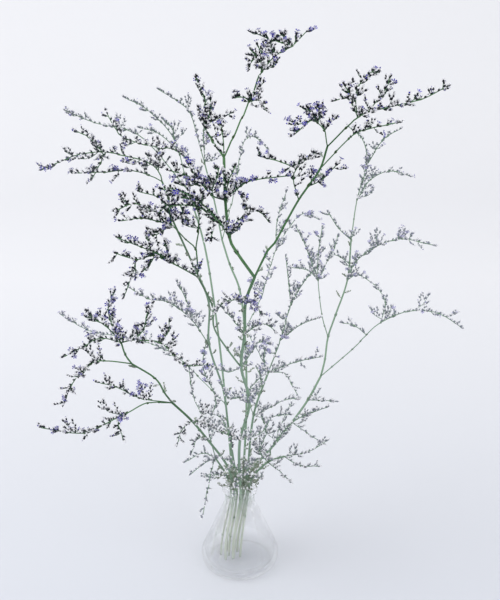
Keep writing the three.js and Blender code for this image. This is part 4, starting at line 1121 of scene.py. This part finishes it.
class Material:
    """A node material with object coordinates, noise, colour ramps and bump."""

    def __init__(self, name, roughness):
        self.material = bpy.data.materials.new(name)
        self.material.use_nodes = True
        self.nodes = self.material.node_tree.nodes
        self.links = self.material.node_tree.links
        self.shader = self.nodes["Principled BSDF"]
        self.shader.inputs["Roughness"].default_value = roughness
        self.shader.inputs["Specular IOR Level"].default_value = SPECULAR_LEVEL
        self.coordinates = self.nodes.new("ShaderNodeTexCoord").outputs["Object"]

    def noise(self, scale, detail):
        texture = self.nodes.new("ShaderNodeTexNoise")
        texture.inputs["Scale"].default_value = scale
        texture.inputs["Detail"].default_value = detail
        self.links.new(self.coordinates, texture.inputs["Vector"])
        return texture.outputs["Fac"]

    def share_along(self, axis, start, end):
        """How far a point lies along an axis, from 0 at the start to 1 at the end."""
        split = self.nodes.new("ShaderNodeSeparateXYZ")
        self.links.new(self.coordinates, split.inputs["Vector"])
        share = self.nodes.new("ShaderNodeMapRange")
        share.inputs["From Min"].default_value = start
        share.inputs["From Max"].default_value = end
        self.links.new(split.outputs[axis], share.inputs["Value"])
        return share.outputs["Result"]

    def ramp(self, source, stops):
        ramp = self.nodes.new("ShaderNodeValToRGB")
        elements = ramp.color_ramp.elements
        elements[0].position, elements[0].color = stops[0][0], (*stops[0][1], 1)
        elements[1].position, elements[1].color = stops[-1][0], (*stops[-1][1], 1)
        for position, color in stops[1:-1]:
            elements.new(position).color = (*color, 1)
        self.links.new(source, ramp.inputs["Fac"])
        return ramp.outputs["Color"]

    def mixed(self, share, low, high):
        mix = self.nodes.new("ShaderNodeMix")
        mix.data_type = "RGBA"
        for socket, source in zip(MIX_INPUTS, (share, low, high)):
            self.links.new(source, mix.inputs[socket])
        return mix.outputs[MIX_OUTPUT]

    def color(self, source):
        self.links.new(source, self.shader.inputs["Base Color"])

    def bump(self, source, strength, distance_mm):
        bump = self.nodes.new("ShaderNodeBump")
        bump.inputs["Strength"].default_value = strength
        bump.inputs["Distance"].default_value = distance_mm * MM
        self.links.new(source, bump.inputs["Height"])
        self.links.new(bump.outputs["Normal"], self.shader.inputs["Normal"])


def faded(colors, pale, share):
    """Colour stops that have faded by a share towards a pale colour."""
    return [
        (place, tuple(lerp(fresh, old, share) for fresh, old in zip(color, pale)))
        for place, color in colors
    ]


def plant_material(kind, name):
    """The material of one kind of surface of one stem, bleached more the lower it is on the stem."""
    stem, look = STEMS[name], LOOKS[kind]
    maker = Material(f"{look.name}_{name}", look.roughness)
    grain = maker.noise(look.grain, GRAIN_DETAIL)
    low_bleached = max(stem.bleached, LOW_BLEACHED[kind])
    low = maker.ramp(grain, faded(look.colors, look.pale, low_bleached))
    high = maker.ramp(grain, faded(look.colors, look.pale, stem.bleached))
    height = maker.share_along("Z", (stem.fresh_height - BLEACHING_HEIGHT) * MM, stem.fresh_height * MM)
    color = maker.mixed(height, low, high)
    if kind == STEM:
        straw = maker.ramp(grain, faded(look.colors, STRAW, STRAW_SHARE))
        color = maker.mixed(maker.share_along("Z", *(level * MM for level in STRAW_HEIGHTS)), color, straw)
    maker.color(color)
    maker.bump(maker.noise(look.relief_grain, RELIEF_DETAIL), look.relief, look.relief_depth)
    return maker.material


def glass_material():
    glass = Material("clear_blown_glass", GLASS_ROUGHNESS)
    glass.shader.inputs["Base Color"].default_value = GLASS_COLOR
    glass.shader.inputs["Transmission Weight"].default_value = 1
    glass.shader.inputs["IOR"].default_value = GLASS_REFRACTION
    facing = glass.nodes.new("ShaderNodeLayerWeight")
    facing.inputs["Blend"].default_value = GLASS_EDGE_BLEND
    opacity = glass.nodes.new("ShaderNodeMapRange")
    opacity.inputs["To Min"].default_value, opacity.inputs["To Max"].default_value = GLASS_OPACITY
    glass.links.new(facing.outputs["Facing"], opacity.inputs["Value"])
    glass.links.new(opacity.outputs["Result"], glass.shader.inputs["Alpha"])
    glass.bump(glass.noise(GLASS_RELIEF_GRAIN, RELIEF_DETAIL), GLASS_RELIEF, GLASS_RELIEF_DEPTH)
    return glass.material


def set_floor():
    """A pale floor that runs up into a pale backdrop, with painted shade that darkens the floor towards the
    front.
    """
    maker = Material("pale_floor", FLOOR_ROUGHNESS)
    # Painted shade that darkens the floor towards the front
    maker.color(maker.ramp(maker.share_along("Y", *FLOOR_SHADE_ENDS), FLOOR_PAINTED_SHADE_COLORS))
    profile = [(FLOOR_FRONT, 0), (BEND_PLACE, 0)]
    for angle in np.linspace(BEND_START_ANGLE, math.pi / 2, BEND_STEPS):
        height = BEND_RADIUS - BEND_RADIUS * math.cos(angle)
        profile.append((BEND_PLACE + BEND_RADIUS * math.sin(angle), height))
    profile += [(BEND_PLACE + BEND_RADIUS, BACKDROP_TOP)]
    points = [(x, y, z) for y, z in profile for x in (-FLOOR_HALF_WIDTH, FLOOR_HALF_WIDTH)]
    faces = [(2 * i, 2 * i + 1, 2 * i + 3, 2 * i + 2) for i in range(len(profile) - 1)]
    mesh = mesh_of("floor", points, faces, [maker.material])
    mesh.shade_smooth()
    floor = in_scene("floor", mesh)


def set_light():
    """Even daylight, and two soft lights from the left and the right."""
    world = bpy.data.worlds.new("soft_daylight")
    world.use_nodes = True
    background = world.node_tree.nodes["Background"]
    background.inputs["Color"].default_value = DAYLIGHT_COLOR
    background.inputs["Strength"].default_value = DAYLIGHT_STRENGTH
    bpy.context.scene.world = world
    for name, place, energy in LIGHTS:
        light = bpy.data.lights.new(name, "AREA")
        light.size = LIGHT_SIZE
        light.energy = energy
        lamp = in_scene(name, light)
        lamp.location = place
        lamp.rotation_euler = (Vector(LIGHT_TARGET) - Vector(place)).to_track_quat("-Z", "Y").to_euler()


def set_camera():
    data = bpy.data.cameras.new("camera")
    data.lens = LENS
    data.sensor_width = SENSOR
    data.clip_start, data.clip_end = CAMERA_CLIP
    camera = in_scene("camera", data)
    camera.location = Vector(CAMERA_PLACE) * MM
    camera.rotation_euler = (math.radians(90 - CAMERA_DOWN_DEGREES), 0, 0)
    bpy.context.scene.camera = camera


set_camera()
bpy.context.scene.view_settings.view_transform = "Standard"
set_floor()
set_light()
add_vase(glass_material())
grow_stems()
